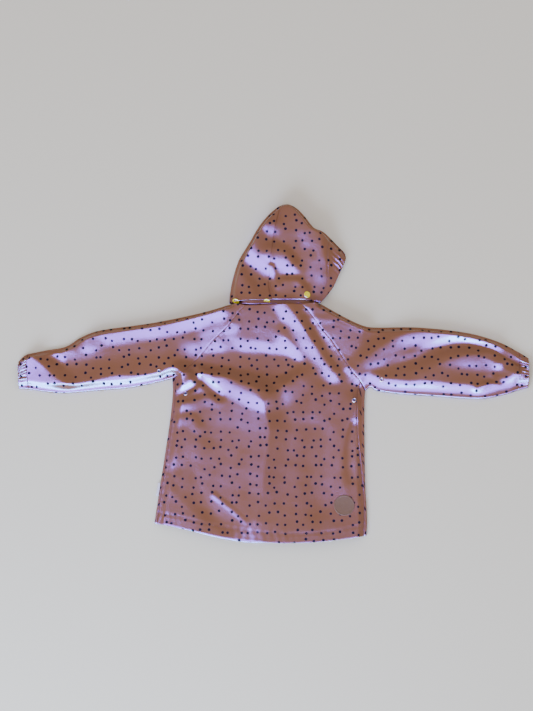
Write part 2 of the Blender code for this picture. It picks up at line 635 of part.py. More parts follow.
def turned(name, look, profile, centre, normal, segments, ring=False):
    """Turn a profile of (radius, height) about the axis `normal` through `centre`."""
    bm = bmesh.new()
    verts = [bm.verts.new((radius * MM, 0, height * MM)) for radius, height in profile]
    edges = [bm.edges.new(pair) for pair in zip(verts, verts[1:])]
    if ring:
        edges.append(bm.edges.new((verts[-1], verts[0])))
    bmesh.ops.spin(bm, geom=verts + edges, axis=(0, 0, 1), cent=(0, 0, 0), steps=segments,
                   angle=math.tau, use_merge=True)
    bmesh.ops.remove_doubles(bm, verts=bm.verts, dist=1e-6)
    turn = Vector((0, 0, 1)).rotation_difference(normal).to_matrix().to_4x4()
    bmesh.ops.transform(bm, verts=bm.verts, matrix=Matrix.Translation(centre * MM) @ turn)
    return finish(name, bm, look)


def cut_holes(carrier, spots, radius):
    """Cut upright round holes through a piece that lies flat."""
    for index, (x, y) in enumerate(spots):
        bm = bmesh.new()
        bmesh.ops.create_cone(bm, cap_ends=True, segments=16, radius1=radius * MM, radius2=radius * MM,
                              depth=6 * WALL * MM, matrix=Matrix.Translation(Vector((x, y, 0)) * MM))
        cutter = finish(f"{carrier.name}_cutter_{index}", bm, carrier.data.materials[0])
        cutter.hide_render = True
        cutter.display_type = "WIRE"
        hole = carrier.modifiers.new(cutter.name, "BOOLEAN")
        hole.operation = "DIFFERENCE"
        hole.object = cutter


SNAP_PROFILE = [(0, 0), (SNAP_BASE, 0), (SNAP_RADIUS, 0.6), (SNAP_RADIUS, 1.2), (SNAP_BASE, 2.0), (0, 2.3)]
FLUSH_SNAP_PROFILE = [(0, 0), (5.4, 0), (SNAP_RADIUS, 0.5), (SNAP_RADIUS, WALL), (0, WALL)]
EYELET_PROFILE = [(2.1, 0), (EYELET_RADIUS, 0), (4.4, 0.6), (3.3, 1.0), (2.3, 0.7)]


def patch_disc(look, carrier):
    """The round rubber patch: a disc that follows the back under it."""
    tree = BVHTree.FromObject(carrier, bpy.context.evaluated_depsgraph_get())
    bm = bmesh.new()
    bmesh.ops.create_circle(bm, cap_ends=True, segments=32, radius=PATCH_RADIUS)
    for ring in range(2):
        middle = max(bm.faces, key=lambda face: len(face.verts))
        bmesh.ops.inset_region(bm, faces=[middle], thickness=PATCH_RADIUS / 3, use_even_offset=True)
    bmesh.ops.poke(bm, faces=[max(bm.faces, key=lambda face: len(face.verts))])
    grown = bmesh.ops.extrude_face_region(bm, geom=bm.faces[:], use_keep_orig=True)["geom"]
    top = {item for item in grown if isinstance(item, bmesh.types.BMVert)}
    for vert in bm.verts:
        spot = Vector((vert.co.x + PATCH_CENTRE[0], vert.co.y + PATCH_CENTRE[1], 100))
        height = tree.ray_cast(spot * MM, Vector((0, 0, -1)))[0].z / MM + 1.6 * LAYER
        vert.co = Vector((spot.x, spot.y, height + PATCH_THICKNESS * (vert in top))) * MM
    return finish("patch", bm, look)


def side_label(look):
    """A small blank tab that sticks out of the left side seam."""
    bm = bmesh.new()
    bmesh.ops.create_cube(bm, size=1)
    start, end = along("side_left", np.array([0.19])), along("side_left", np.array([0.28]))
    middle = (start + end)[0] / 2
    run = Vector((*(end - start)[0], 0))
    width = LABEL_WIDTH
    turn = Vector((0, 1, 0)).rotation_difference(run).to_matrix().to_4x4()
    size = Matrix.Diagonal((width, run.length, LABEL_THICKNESS, 1))
    shift = Matrix.Translation((middle[0] - width / 2 - 1.4 * SEAM, middle[1], FOLD))
    bmesh.ops.transform(bm, verts=bm.verts, matrix=Matrix.Scale(MM, 4) @ shift @ turn @ size)
    return finish("side_label", bm, look)


for old in list(bpy.data.objects):
    bpy.data.objects.remove(old)

coated_cloth = material("coated_cloth", CLOTH, 0.4)
yellow_plastic = material("yellow_plastic", SNAP_YELLOW, 0.35)
eyelet_metal = material("eyelet_metal", METAL, 0.3, 1.0)
patch_rubber = material("patch_rubber", RUBBER, 0.6)
label_tape = material("label_tape", LABEL_WHITE, 0.8)

back = back_panel(coated_cloth)
left_sleeve = sleeve(coated_cloth, "left")
right_sleeve = sleeve(coated_cloth, "right")
cuff(coated_cloth, "left", smooth_share=1.6)
cuff(coated_cloth, "right", smooth_share=0.3)
front(coated_cloth, "left", sign=-1)
front(coated_cloth, "right", sign=1)
collar(coated_cloth)
hood(coated_cloth)
patch_disc(patch_rubber, back)
side_label(label_tape)

EYELETS = [("eyelet_back_left", back, -161, -45), ("eyelet_back_right", back, 147, -58),
           ("eyelet_sleeve_left", left_sleeve, -210, -5), ("eyelet_sleeve_right", right_sleeve, 198, -20)]
for name, carrier, x, y in EYELETS:
    turned(name, eyelet_metal, EYELET_PROFILE, *seat(carrier, x, y, EYELET_RADIUS), 16, ring=True)

HOOD_SNAPS = [("hood_snap_1", "hood_left", -75, 134), ("hood_snap_2", "hood_left", -12, 134),
              ("hood_snap_3", "hood_right", 62, 138)]
for name, carrier, x, y in HOOD_SNAPS:
    turned(name, yellow_plastic, SNAP_PROFILE, *seat(bpy.data.objects[carrier], x, y, SNAP_BASE), 16)

FRONT_SNAPS = [(-0.5 + (y - 118) * 0.054, y) for y in (90, 2, -86, -174, -262)]
cut_holes(bpy.data.objects["front_right"], FRONT_SNAPS, SNAP_RADIUS + 1.3 * SEAM)
for index, (x, y) in enumerate(FRONT_SNAPS):
    turned(f"front_snap_{index + 1}", yellow_plastic, FLUSH_SNAP_PROFILE, Vector((x, y, 0)),
           Vector((0, 0, 1)), 16)
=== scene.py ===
"""Looks of the toddler raincoat: coated cloth laid on its front, with its sewing, snaps and eyelets."""

import math

import bmesh
import bpy
import numpy as np
from mathutils import Matrix, Vector
from mathutils.bvhtree import BVHTree


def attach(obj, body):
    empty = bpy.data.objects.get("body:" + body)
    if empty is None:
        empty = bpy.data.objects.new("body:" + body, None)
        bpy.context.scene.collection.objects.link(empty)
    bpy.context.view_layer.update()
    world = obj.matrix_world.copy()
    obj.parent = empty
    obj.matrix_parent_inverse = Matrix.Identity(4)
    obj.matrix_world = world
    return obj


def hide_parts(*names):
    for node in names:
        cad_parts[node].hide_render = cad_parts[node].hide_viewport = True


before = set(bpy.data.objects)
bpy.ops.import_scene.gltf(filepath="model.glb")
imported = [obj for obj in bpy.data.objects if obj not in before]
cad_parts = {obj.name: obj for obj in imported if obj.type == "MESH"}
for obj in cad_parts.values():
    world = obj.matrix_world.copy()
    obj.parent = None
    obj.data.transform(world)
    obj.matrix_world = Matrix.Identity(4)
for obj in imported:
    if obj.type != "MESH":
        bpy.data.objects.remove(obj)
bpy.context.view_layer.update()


# ---- Back panel ----------------------------------------------------------------------------------
# The back is the largest cut of the coat: a plain-woven polyester with a thin satin polyurethane
# film outside. It is sewn to the sleeves at the raglan seams and to the fronts round the sides, and
# lies puffed up over them in soft folds, so its section holds the whole coat's outline and folds.

MM = 0.001
FOLD = 3.0              # outer radius of the tubes' pressed edges
FOLD_RELIEF = 1.25      # scales the height of every large fold
SEAM_GAP = 0.1
BACK_LENGTH = 435.0
HEM_ROLL = 0.45         # radius of the hem's turned edge, and how far it stands out
HEM_REACH = 0.25
HEM_TURNING = 15.5      # depth of the hem's turning

OUTLINES = {
    "sleeve_left_top": [(-83, 122), (-133, 107), (-222, 88), (-318, 74), (-355, 61), (-384, 43),
                        (-420, 36), (-454, 29)],
    "sleeve_left_bottom": [(-186, -17), (-214, -24), (-263, -34), (-320, -39), (-380, -44),
                           (-415, -42), (-450, -37)],
    "sleeve_right_top": [(89, 123), (135, 97), (165, 83), (190, 79), (269, 79), (357, 69),
                         (416, 52), (454, 32)],
    "sleeve_right_bottom": [(169, -39), (179, -33), (191, -40), (235, -46), (294, -50), (374, -55),
                            (420, -48), (449, -39)],
    "cuff_left_top": [(-454.6, 28.6), (-461, 25), (-470.5, 15)],
    "cuff_left_bottom": [(-450.6, -36.9), (-459, -36.4), (-467.5, -36)],
    "cuff_right_top": [(454.6, 31.6), (462, 27), (470.5, 21.5)],
    "cuff_right_bottom": [(449.6, -38.8), (458, -36.5), (468, -34)],
    "side_left": [(-215, -281), (-209, -236), (-201, -179), (-192, -114), (-187, -71), (-185, -40),
                  (-186.6, -18)],
    "side_right": [(167, -303), (168.5, -271), (166, -204), (166, -114), (167, -60), (168.4, -39.8)],
    "seam_left": [(-210, -281.6), (-204.5, -236), (-196.5, -179), (-187.5, -114), (-182, -71),
                  (-180, -40), (-181.2, -15.5)],
    "seam_right": [(162, -303.6), (163.5, -250), (161, -204), (157, -160), (153, -118), (152, -80),
                   (153, -50), (159.6, -24.2)],
    "raglan_left": [(-186, -17), (-165, -4), (-138, 23), (-111, 54), (-85, 79), (-63, 107), (-53, 118)],
    "raglan_right": [(169, -39), (161, -25), (144, -5), (129, 19), (107, 53), (89, 74), (65, 107),
                     (52, 120)],
    "hem": [(-215, -281), (-184, -286), (-127, -299), (-70, -310), (0, -316), (43, -316), (85, -314),
            (142, -307), (167, -303)],
    "neck": [(-53, 118), (-3, 119), (52, 120)],
    "hem_stitching": [(-214, -262), (-167, -270), (-122, -282), (-60, -293), (7, -299), (82, -298),
                      (168, -284)],
}

# A fold follows its path, stands `start` to `end` high (below zero it is a trough) and fades out
# `right` and `left` of the path. `crisp` sharpens its top. Nearly all lie where the solids have theirs.
#  path                                                          start  end  right left crisp
COAT_FOLDS = [
    ([(-168, -8), (-107, -12), (-72, -22), (-25, -40), (-3, -46), (21, -30), (42, -12)], 8, 6, 40, 28, .4),
    ([(-150, 10), (-84, 16), (-25, 11), (20, 2)], -4, -6, 34, 44, .1),
    ([(-145, -8), (-120, -30), (-98, -50)], -5, -3, 15, 17, .2),
    ([(-183, -36), (-153, -25)], 3, 1, 12, 12, .2),
    ([(-179, -51), (-147, -33), (-136, -20)], -3, -4, 10, 12, .2),
    ([(-181, -68), (-152, -62), (-123, -54), (-101, -56)], 3, 1, 22, 12, .2),
    ([(-177, -92), (-151, -91), (-136, -106)], 1.5, 1, 20, 14, .1),
    ([(-36, 128), (-53, 92), (-75, 54)], -1.5, -1.5, 26, 30, .2),
    ([(20, 124), (44, 92), (71, 51), (112, -5)], 5, 5, 30, 26, .2),
    ([(60, 100), (82, 62), (103, 26), (128, -6)], -2.5, -2, 18, 16, .2),
    ([(66, 93), (107, 90)], 0.8, 0.5, 12, 12, .1),
    ([(-127, 70), (-98, 80), (-71, 84)], 1, 1, 20, 16, .1),
    ([(-20, -62), (-8, -113), (-17, -186), (-21, -225), (-33, -275)], 10, 6, 96, 42, .6),
    ([(74, -110), (72, -190), (80, -250)], -2, -1.5, 34, 34, .0),
    ([(150, -70), (137, -95), (129, -120), (123, -149), (120, -169), (121, -190), (127, -214)],
     2.5, 1.5, 36, 14, .3),
    ([(147, -104), (138, -138), (136, -169), (141, -200)], -3, -1, 12, 18, .1),
    ([(-192, -184), (-163, -222), (-118, -258), (-84, -288)], -1.5, -1, 20, 34, .1),
    ([(-108, -230), (-80, -252), (-50, -278)], 1.2, 0.6, 9, 7, .2),
    ([(-186, -186), (-170, -180)], -0.5, -0.5, 18, 18, .2),
    ([(70, -292), (160, -282)], 0.5, 0.5, 20, 34, .0),
    ([(-100, 112), (-136, 104), (-191, 89), (-247, 79), (-302, 72), (-340, 60)], 7, 6, 32, 34, .3),
    ([(-163, 34), (-227, 26), (-300, 18), (-364, 6), (-394, 8)], -0.5, -1, 30, 30, .0),
    ([(-448, 26), (-426, 9), (-403, -12), (-374, -33)], 9, 3, 52, 26, .5),
    ([(-374, -33), (-357, -31), (-298, -14), (-250, -12), (-192, -8)], 4.5, 2.5, 22, 44, .5),
    ([(-382, 42), (-356, 38), (-328, 40)], 2.5, 1, 26, 20, .0),
    ([(149, -2), (175, 24), (207, 47), (241, 64), (289, 71), (363, 63), (405, 52)], 5, 8, 34, 26, .3),
    ([(175, -8), (223, 8), (265, 20), (300, 40), (347, 50), (398, 38), (425, 23), (450, 9)],
     -1, -8, 22, 18, .4),
    ([(280, -4), (301, 6), (329, 19), (386, 29), (423, 20), (446, 2)], 3, 8, 40, 24, .3),
    ([(178, -33), (231, -30), (304, -30), (349, -30), (372, -38)], 3, 2.5, 34, 36, .3),
    ([(372, -38), (395, -28), (439, -20)], 4, 1, 20, 16, .3),
    ([(203, -40), (300, -42), (367, -46), (424, -46)], -1.5, 0, 8, 7, .1),
]

# Smaller creases, which only the cloth shows.
COAT_CREASES = [
    ([(165, 84), (156, 63), (142, 22)], 10, 3, 78, 24, .0),
    ([(21, 59), (49, 33), (71, -2)], 3, 1, 26, 30, .3),
    ([(-130, -60), (-124, -90), (-118, -125)], -1.5, -1, 26, 32, .1),
    ([(-150, -180), (-125, -235), (-95, -275)], -2, -1.5, 34, 50, .2),
    ([(96, -60), (98, -110), (94, -160)], -1, -0.5, 26, 24, .1),
    ([(-404, 20), (-391, 11)], -2.5, -2, 14, 14, .2),
    ([(413, -3), (427, 4)], -3, -3, 20, 14, .2),
    ([(375, -32), (393, -20), (417, -24)], -1.5, -1.5, 9, 10, .2),
]

# Height of the back's middle (y, z), and of the sleeves (distance from the middle of the coat, z).
BODY_LOFT = [(-330, 20), (-300, 17), (-240, 12), (-170, 10), (-100, 10), (-50, 11), (-10, 9), (20, 9),
             (50, 13), (80, 18), (110, 22), (140, 23)]
SLEEVE_LOFT = [(90, 20), (150, 14), (230, 12), (380, 10), (480, 12)]
BODY_MIDDLE = -8
BODY_HALF = 95          # distance from the middle at which the sleeves' heights begin to tell

# How far each pressed edge takes to puff up to the full height: line, distance.
COAT_EDGES = [("side_left", 20), ("side_right", 14), ("sleeve_left_top", 8), ("sleeve_right_top", 8),
              ("sleeve_left_bottom", 14), ("sleeve_right_bottom", 26), ("cuff_left_top", 10),
              ("cuff_left_bottom", 10), ("cuff_right_top", 10), ("cuff_right_bottom", 14)]

# Seams that sink into the cloth: line, depth, half width.
COAT_SEAMS = [("raglan_left", 0.28, 1.0), ("raglan_right", 0.22, 1.1), ("seam_left", 0.15, 1.0),
              ("seam_right", 0.2, 1.0), ("hem_stitching", 0.45, 1.6)]
PUCKER = 0.12           # height of the puckers along a seam, and of those along the hem's stitches
HEM_PUCKER = 0.7


def smooth_curve(points, steps):
    """Return the points of a Catmull-Rom curve through `points`, with `steps` to each span."""
    points = np.array(points, float)
    before = 2 * points[0] - points[1]
    after = 2 * points[-1] - points[-2]
    knots = np.vstack([before, points, after])
    curve = []
    for a, b, c, d in zip(knots, knots[1:], knots[2:], knots[3:]):
        for t in np.arange(steps) / steps:
            curve.append(0.5 * (2 * b + (c - a) * t + (2 * a - 5 * b + 4 * c - d) * t ** 2
                                + (3 * b - a - 3 * c + d) * t ** 3))
    return np.vstack(curve + [points[-1]])


CURVES = {name: smooth_curve(points, 10) for name, points in OUTLINES.items()}


def lengths_along(curve):
    """Return how far along a curve each of its points is."""
    return np.concatenate([[0], np.cumsum(np.hypot(*np.diff(curve, axis=0).T))])


def point_at(curve, lengths, reach):
    """Return the points that are a length `reach` along a curve."""
    return np.stack([np.interp(reach, lengths, curve[:, axis]) for axis in (0, 1)], -1)


def along(name, t):
    """Return the points (x, y) at the fractions `t` of a line's length, carried on past its ends."""
    curve = CURVES[name]
    lengths = lengths_along(curve)
    reach = t * lengths[-1]
    point = point_at(curve, lengths, np.clip(reach, 0, lengths[-1]))
    first = (curve[1] - curve[0]) / lengths[1]
    last = (curve[-1] - curve[-2]) / (lengths[-1] - lengths[-2])
    point += np.minimum(reach, 0)[..., None] * first
    point += np.maximum(reach - lengths[-1], 0)[..., None] * last
    return point


def nearest(x, y, curve):
    """Return each point's distance to a curve, its side (+1 left, -1 right) and how far along it is."""
    best = np.full(np.shape(x), np.inf)
    side = np.zeros(np.shape(x))
    share = np.zeros(np.shape(x))
    count = len(curve) - 1
    for index in range(count):
        (ax, ay), (bx, by) = curve[index], curve[index + 1]
        dx, dy = bx - ax, by - ay
        t = np.clip(((x - ax) * dx + (y - ay) * dy) / (dx * dx + dy * dy), 0, 1)
        distance = np.hypot(x - ax - t * dx, y - ay - t * dy)
        closer = distance < best
        best = np.where(closer, distance, best)
        turn = (dx * (y - ay) - dy * (x - ax)) / (np.hypot(dx, dy) * np.maximum(distance, 1e-9))
        side = np.where(closer, turn, side)
        share = np.where(closer, (index + t) / count, share)
    return best, side, share


def ease(t):
    """Go smoothly from 0 to 1 as t does, level at both ends."""
    t = np.clip(t, 0, 1)
    return t * t * (3 - 2 * t)


def bell(distance, width):
    """Return 1 at no distance, falling away to nearly nothing at twice the width."""
    return np.exp(-(distance / width) ** 2)


def fold_heights(x, y, folds):
    """Add up the folds or creases of a table at the points (x, y)."""
    total = np.zeros(np.shape(x))
    for path, start, end, right, left, crisp in folds:
        curve = smooth_curve(path, 4)
        reach = max(right, left)
        low, high = curve.min(0) - reach, curve.max(0) + reach
        near = (x > low[0]) & (x < high[0]) & (y > low[1]) & (y < high[1])
        distance, side, share = nearest(x[near], y[near], curve)
        fade = np.clip(distance / (right + (left - right) * ease(0.5 + 0.5 * side)), 0, 1)
        soft = 1 - ease(fade)
        sharp = (1 - fade) ** 2
        total[near] += (start + (end - start) * share) * (soft + (sharp - soft) * crisp)
    return total


def roll_up(distance):
    """Height of the upper half of a pressed edge, at a distance in from it."""
    inward = FOLD - np.clip(distance, 0, FOLD)
    return FOLD + np.sqrt(FOLD ** 2 - inward ** 2)


def roll_under(distance):
    """Height of the lower half of a pressed edge, at a distance in from it."""
    return 2 * FOLD - roll_up(distance)


def coat_rim(x, y):
    """Return the distance to the coat's pressed edges, and how far the cloth has puffed up there."""
    closest = np.full(np.shape(x), np.inf)
    lift = np.ones(np.shape(x))
    for name, reach in COAT_EDGES:
        distance = nearest(x, y, CURVES[name])[0]
        closest = np.minimum(closest, distance)
        lift = lift * ease((distance - FOLD) / reach)
    return closest, lift


def rumple(x, y):
    """Faint uneven rumples of the coated cloth, from a few crossing waves."""
    waves = [(0.110, 0.023, 0.0, 0.16), (0.031, 0.094, 1.3, 0.14), (-0.083, 0.071, 4.0, 0.10),
             (0.193, -0.061, 2.1, 0.06), (0.057, 0.211, 5.2, 0.05)]
    total = 0
    for across, upward, phase, height in waves:
        bend = 1.7 * np.sin(0.021 * y + 0.013 * x + phase)
        total = total + height * np.sin(across * x + upward * y + phase + bend)
    return total


def seam_dips(x, y, seams):
    """The cloth sinks into its seams and stands a little proud on the turnings beside them."""
    total = np.zeros(np.shape(x))
    for name, depth, half_width in seams:
        distance, side, share = nearest(x, y, CURVES[name])
        run = share * lengths_along(CURVES[name])[-1]
        pucker = PUCKER * np.sin(run / 1.45 + 2.2 * np.sin(run / 17))
        total += pucker * bell(distance - 3, 4.5) - depth * bell(distance, half_width)
        total += 0.25 * depth * bell(distance - 2.6 * half_width, 2 * half_width)
        if name == "hem_stitching":
            pull = np.sin(run / 2.0 + 1.7 * np.sin(run / 23)) * (0.6 + 0.4 * np.sin(run / 31 + 1))
            total += HEM_PUCKER * pull * bell(distance + 5 * side, 7.5) * ease((75 - x) / 40)
    return total


def coat_top(x, y):
    """Height of the outside of the back and of the upper half of the sleeves."""
    closest, lift = coat_rim(x, y)
    away = np.abs(x - BODY_MIDDLE)
    body = np.interp(y, *smooth_curve(BODY_LOFT, 8).T)
    sleeve = np.interp(away, *smooth_curve(SLEEVE_LOFT, 8).T)
    arm = ease((away - BODY_HALF) / 100)
    folds = fold_heights(x, y, COAT_FOLDS) + fold_heights(x, y, COAT_CREASES)
    puff = body + (sleeve - body) * arm + FOLD_RELIEF * folds - 2 * FOLD + rumple(x, y)
    soft_puff = 0.5 * (puff + np.sqrt(puff ** 2 + 4))
    return roll_up(closest) + lift * soft_puff + seam_dips(x, y, COAT_SEAMS) * ease(closest / 6)


def coat_under(x, y):
    """Height of the outside of the sleeves' lower half."""
    return roll_under(coat_rim(x, y)[0])


def fill(left, right, bottom, top, u, v):
    """Fill a four-sided outline, whose sides are functions of their own fraction u or v."""
    u, v = np.broadcast_arrays(u, v)
    across, upward = u[..., None], v[..., None]
    zero, one = np.zeros(1), np.ones(1)
    sides = (1 - across) * left(v) + across * right(v) + (1 - upward) * bottom(u) + upward * top(u)
    corners = ((1 - across) * ((1 - upward) * bottom(zero) + upward * top(zero))
               + across * ((1 - upward) * bottom(one) + upward * top(one)))
    return sides - corners


def straight(start, end):
    """Return a straight side from one point to another."""
    start, end = np.array(start, float), np.array(end, float)
    return lambda t: start + (end - start) * np.asarray(t, float)[..., None]


def between(near, far, t):
    """Return the straight side from one side to another at their fraction `t`."""
    t = np.full(1, float(t))
    return straight(near(t)[0], far(t)[0])


def stretch(name, start=0.0, end=1.0, shift=(0.0, 0.0)):
    """Return the part of a line between two fractions of its length as a side, shifted."""
    shift = np.array(shift, float)
    return lambda t: along(name, start + (end - start) * np.asarray(t, float)) + shift


def joined(first, second, share):
    """Run along one side and then another, with the corner at the fraction `share`."""
    def run(t):
        t = np.asarray(t, float)
        return np.where((t < share)[..., None], first(t / share), second((t - share) / (1 - share)))
    return run


def raise_up(plan, angle, top, under):
    """Give plan points their height: on the upper layer where the angle is above zero."""
    x, y = plan[..., 0], plan[..., 1]
    return np.stack([x, y, np.where(angle >= 0, top(x, y), under(x, y))], -1)


def width_across(chord, v):
    """Width of a tube or panel, from its near edge to its far one."""
    return np.linalg.norm(chord(np.ones_like(v), v) - chord(np.zeros_like(v), v), axis=-1)


def chord_point(chord, share, angle, v, near=1, far=1):
    """Point of a pressed tube's plan, moved in by the roll at the edges that `near` and `far` name."""
    roll = FOLD * (1 - np.cos(np.radians(angle)))
    return chord(share + (near * (1 - share) - far * share) * roll / width_across(chord, v), v)


PRINT_SHIFT = (11, -190)    # where the print of a tube's lower layer starts


def unrolled(chord, share, angle, v, near=1, far=1):
    """Where a point of a pressed tube lies on its flat printed cloth, in the plan's own frame."""
    width = width_across(chord, v)
    roll = FOLD * (1 - math.pi / 2 + np.radians(angle))
    top = share * (width - (near + far) * FOLD) + near * FOLD
    run = np.where(angle >= 90, top, np.where(share > 0.5, width - roll, roll))
    beneath = chord(share, v) * np.array([-1, 1]) + np.array(PRINT_SHIFT)
    return np.where(((angle <= -90) & (share > 0))[..., None], beneath, chord(run / width, v))


def fractions(count, start=0.0, end=1.0):
    """Return the ends of `count` equal steps from start to end."""
    return [start + (end - start) * index / count for index in range(count + 1)]


def layer(shares, angle=90):
    """Return the columns of an upper layer (90) or a lower one (-90) at these shares of its width."""
    return [(share, angle) for share in shares]


def close_to_ends(count, length, at_start=True, at_end=True):
    """Fractions of a length with closer steps beside a seam at its start, its end or both."""
    steps = (0, 0.5, 1.1, 1.9)
    near = [step / length for step in steps] if at_start else []
    far = [1 - step / length for step in reversed(steps)] if at_end else []
    return near + fractions(count, 3.2 / length * at_start, 1 - 3.2 / length * at_end) + far


def make_piece(name, bm, look):
    """Make a piece of the coat from a bmesh. Every piece rides on the coat's one body."""
    mesh = bpy.data.meshes.new(name)
    bm.to_mesh(mesh)
    bm.free()
    mesh.shade_smooth()
    mesh.materials.append(look)
    piece = bpy.data.objects.new(name, mesh)
    bpy.context.scene.collection.objects.link(piece)
    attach(piece, "root")
    return piece


def cloth(name, columns, rows, place, pattern, look, thickness=0.7, closed=False,
          left_out=None):
    """Sew one piece: a grid whose outside is place(share, angle, v), with its thickness under it.

    `columns` lists (share, angle) pairs and `rows` the fractions v. `pattern` gives each point's
    place on the flat printed cloth, which the material reads as its UV map, in metres.
    """
    last = len(columns) - 1
    bm = bmesh.new()
    column, row = bm.verts.layers.int.new("column"), bm.verts.layers.int.new("row")
    bmesh.ops.create_grid(bm, x_segments=last, y_segments=len(rows) - 1, size=0.5)
    for vert in bm.verts:
        vert[column] = round((vert.co.x + 0.5) * last)
        vert[row] = round((vert.co.y + 0.5) * (len(rows) - 1))
    if left_out:
        lost = [vert for vert in bm.verts if left_out(vert[column], vert[row])]
        bmesh.ops.delete(bm, geom=lost, context="VERTS")
    share, angle = np.array([columns[vert[column]] for vert in bm.verts], float).T
    v = np.array([rows[vert[row]] for vert in bm.verts], float)
    flat = pattern(share, angle, v)
    for vert, point in zip(bm.verts, place(share, angle, v)):
        vert.co = Vector(point) * MM
    bm.verts.index_update()
    uv = bm.loops.layers.uv.new("UVMap")
    for face in bm.faces:
        for loop in face.loops:
            loop[uv].uv = flat[loop.vert.index] * MM
    if closed:
        bmesh.ops.remove_doubles(bm, verts=bm.verts, dist=0.00001)
    bmesh.ops.recalc_face_normals(bm, faces=bm.faces)
    highest = max(bm.faces, key=lambda face: face.calc_center_median().z)
    if highest.normal.z < 0:
        bmesh.ops.reverse_faces(bm, faces=bm.faces)
    piece = make_piece(name, bm, look)
    wall = piece.modifiers.new("wall", "SOLIDIFY")
    wall.thickness = thickness * MM
    wall.offset = -1
    return piece


def hexed(code):
    """Turn an sRGB hex colour into a linear one."""
    parts = [int(code[at:at + 2], 16) / 255 for at in (1, 3, 5)]
    return (*[part / 12.92 if part < 0.04045 else ((part + 0.055) / 1.055) ** 2.4 for part in parts], 1)


def set_node(node, settings, links):
    """Give a node its settings and socket values, and link sockets or nodes' first outputs to it."""
    for name, value in settings.items():
        if isinstance(name, str) and hasattr(node, name):
            setattr(node, name, value)
        else:
            node.inputs[name].default_value = value
    for name, source in links.items():
        node.id_data.links.new(getattr(source, "outputs", [source])[0], node.inputs[name])
    return node


def add_node(tree, kind, settings, links):
    """Add a node with its settings and links."""
    return set_node(tree.nodes.new("ShaderNode" + kind), settings, links)


def new_look(name):
    """Start a material. Return it, its node tree and its texture coordinates."""
    look = bpy.data.materials.new(name)
    look.use_nodes = True
    return look, look.node_tree, add_node(look.node_tree, "TexCoord", {}, {}).outputs


def finish_look(look, settings, links):
    """Give a material's own shader its settings and links."""
    set_node(look.node_tree.nodes["Principled BSDF"], settings, links)
    return look


DOT_SPACING = 16.8      # mean distance between the printed dots
DOT_RADIUS = 2.45
DRAWN_THREADS = 0.8     # the threads are 0.2 apart, drawn coarser so that they show


def coated_cloth_look(name, base, shade):
    """Polyurethane-coated polyester, calendered and printed: a satin film over a fine plain weave.

    The film gives a broad cool gleam on each fold, and the dots are printed under it.
    """
    look, tree, coordinates = new_look(name)
    place = coordinates["UV"]
    noise = {}
    for use, scale, detail in (("wobble", 260, 1), ("patches", 9, 3), ("grain", 45, 4), ("crinkle", 150, 5)):
        settings = {"noise_dimensions": "2D", "Scale": scale, "Detail": detail}
        noise[use] = add_node(tree, "TexNoise", settings, {"Vector": place})
    centred = add_node(tree, "VectorMath", {"operation": "SUBTRACT", 1: (0.5, 0.5, 0.5)},
                       {0: noise["wobble"].outputs["Color"]})
    shifted = add_node(tree, "VectorMath", {"operation": "MULTIPLY_ADD", 1: (0.0007, 0.0007, 0)},
                       {0: centred, 2: place})
    cells = add_node(tree, "TexVoronoi",
                     {"voronoi_dimensions": "2D", "feature": "F1", "Scale": 1000 / DOT_SPACING,
                      "Randomness": 0.62}, {"Vector": shifted})
    size = add_node(tree, "MapRange",
                    {"To Min": 0.88 * DOT_RADIUS / DOT_SPACING, "To Max": 1.12 * DOT_RADIUS / DOT_SPACING},
                    {"Value": cells.outputs["Color"]})
    over = add_node(tree, "Math", {"operation": "SUBTRACT"}, {0: size, 1: cells})
    dot = add_node(tree, "MapRange", {"From Min": -0.008, "From Max": 0.008}, {"Value": over})
    ground = add_node(tree, "Mix", {"data_type": "RGBA", 6: hexed(base), 7: hexed(shade)},
                      {0: noise["patches"]})
    printed = add_node(tree, "Mix", {"data_type": "RGBA", 7: hexed("#0B080B")},
                       {0: dot, 6: ground.outputs[2]})
    rough = add_node(tree, "MapRange", {"To Min": 0.2, "To Max": 0.28}, {"Value": noise["grain"]})
    # The ink of the dots is matt, so they stay dark where the film gleams.
    matt = add_node(tree, "Mix", {3: 0.85}, {0: dot, 2: rough})
    gleam = add_node(tree, "Mix", {2: 0.5, 3: 0.03}, {0: dot})
    threads = add_node(tree, "TexChecker", {"Scale": 1000 / DRAWN_THREADS}, {"Vector": place})
    height = add_node(tree, "Math", {"operation": "MULTIPLY_ADD", 1: 0.12},
                      {0: threads.outputs["Fac"], 2: noise["crinkle"]})
    bump = add_node(tree, "Bump", {"Strength": 0.11, "Distance": 0.0006}, {"Height": height})
    return finish_look(look, {"IOR": 1.5}, {"Base Color": printed.outputs[2], "Roughness": matt,
                                            "Specular IOR Level": gleam, "Normal": bump})


cloth_look = coated_cloth_look("satin_coated_polyester", "#86563A", "#794B33")


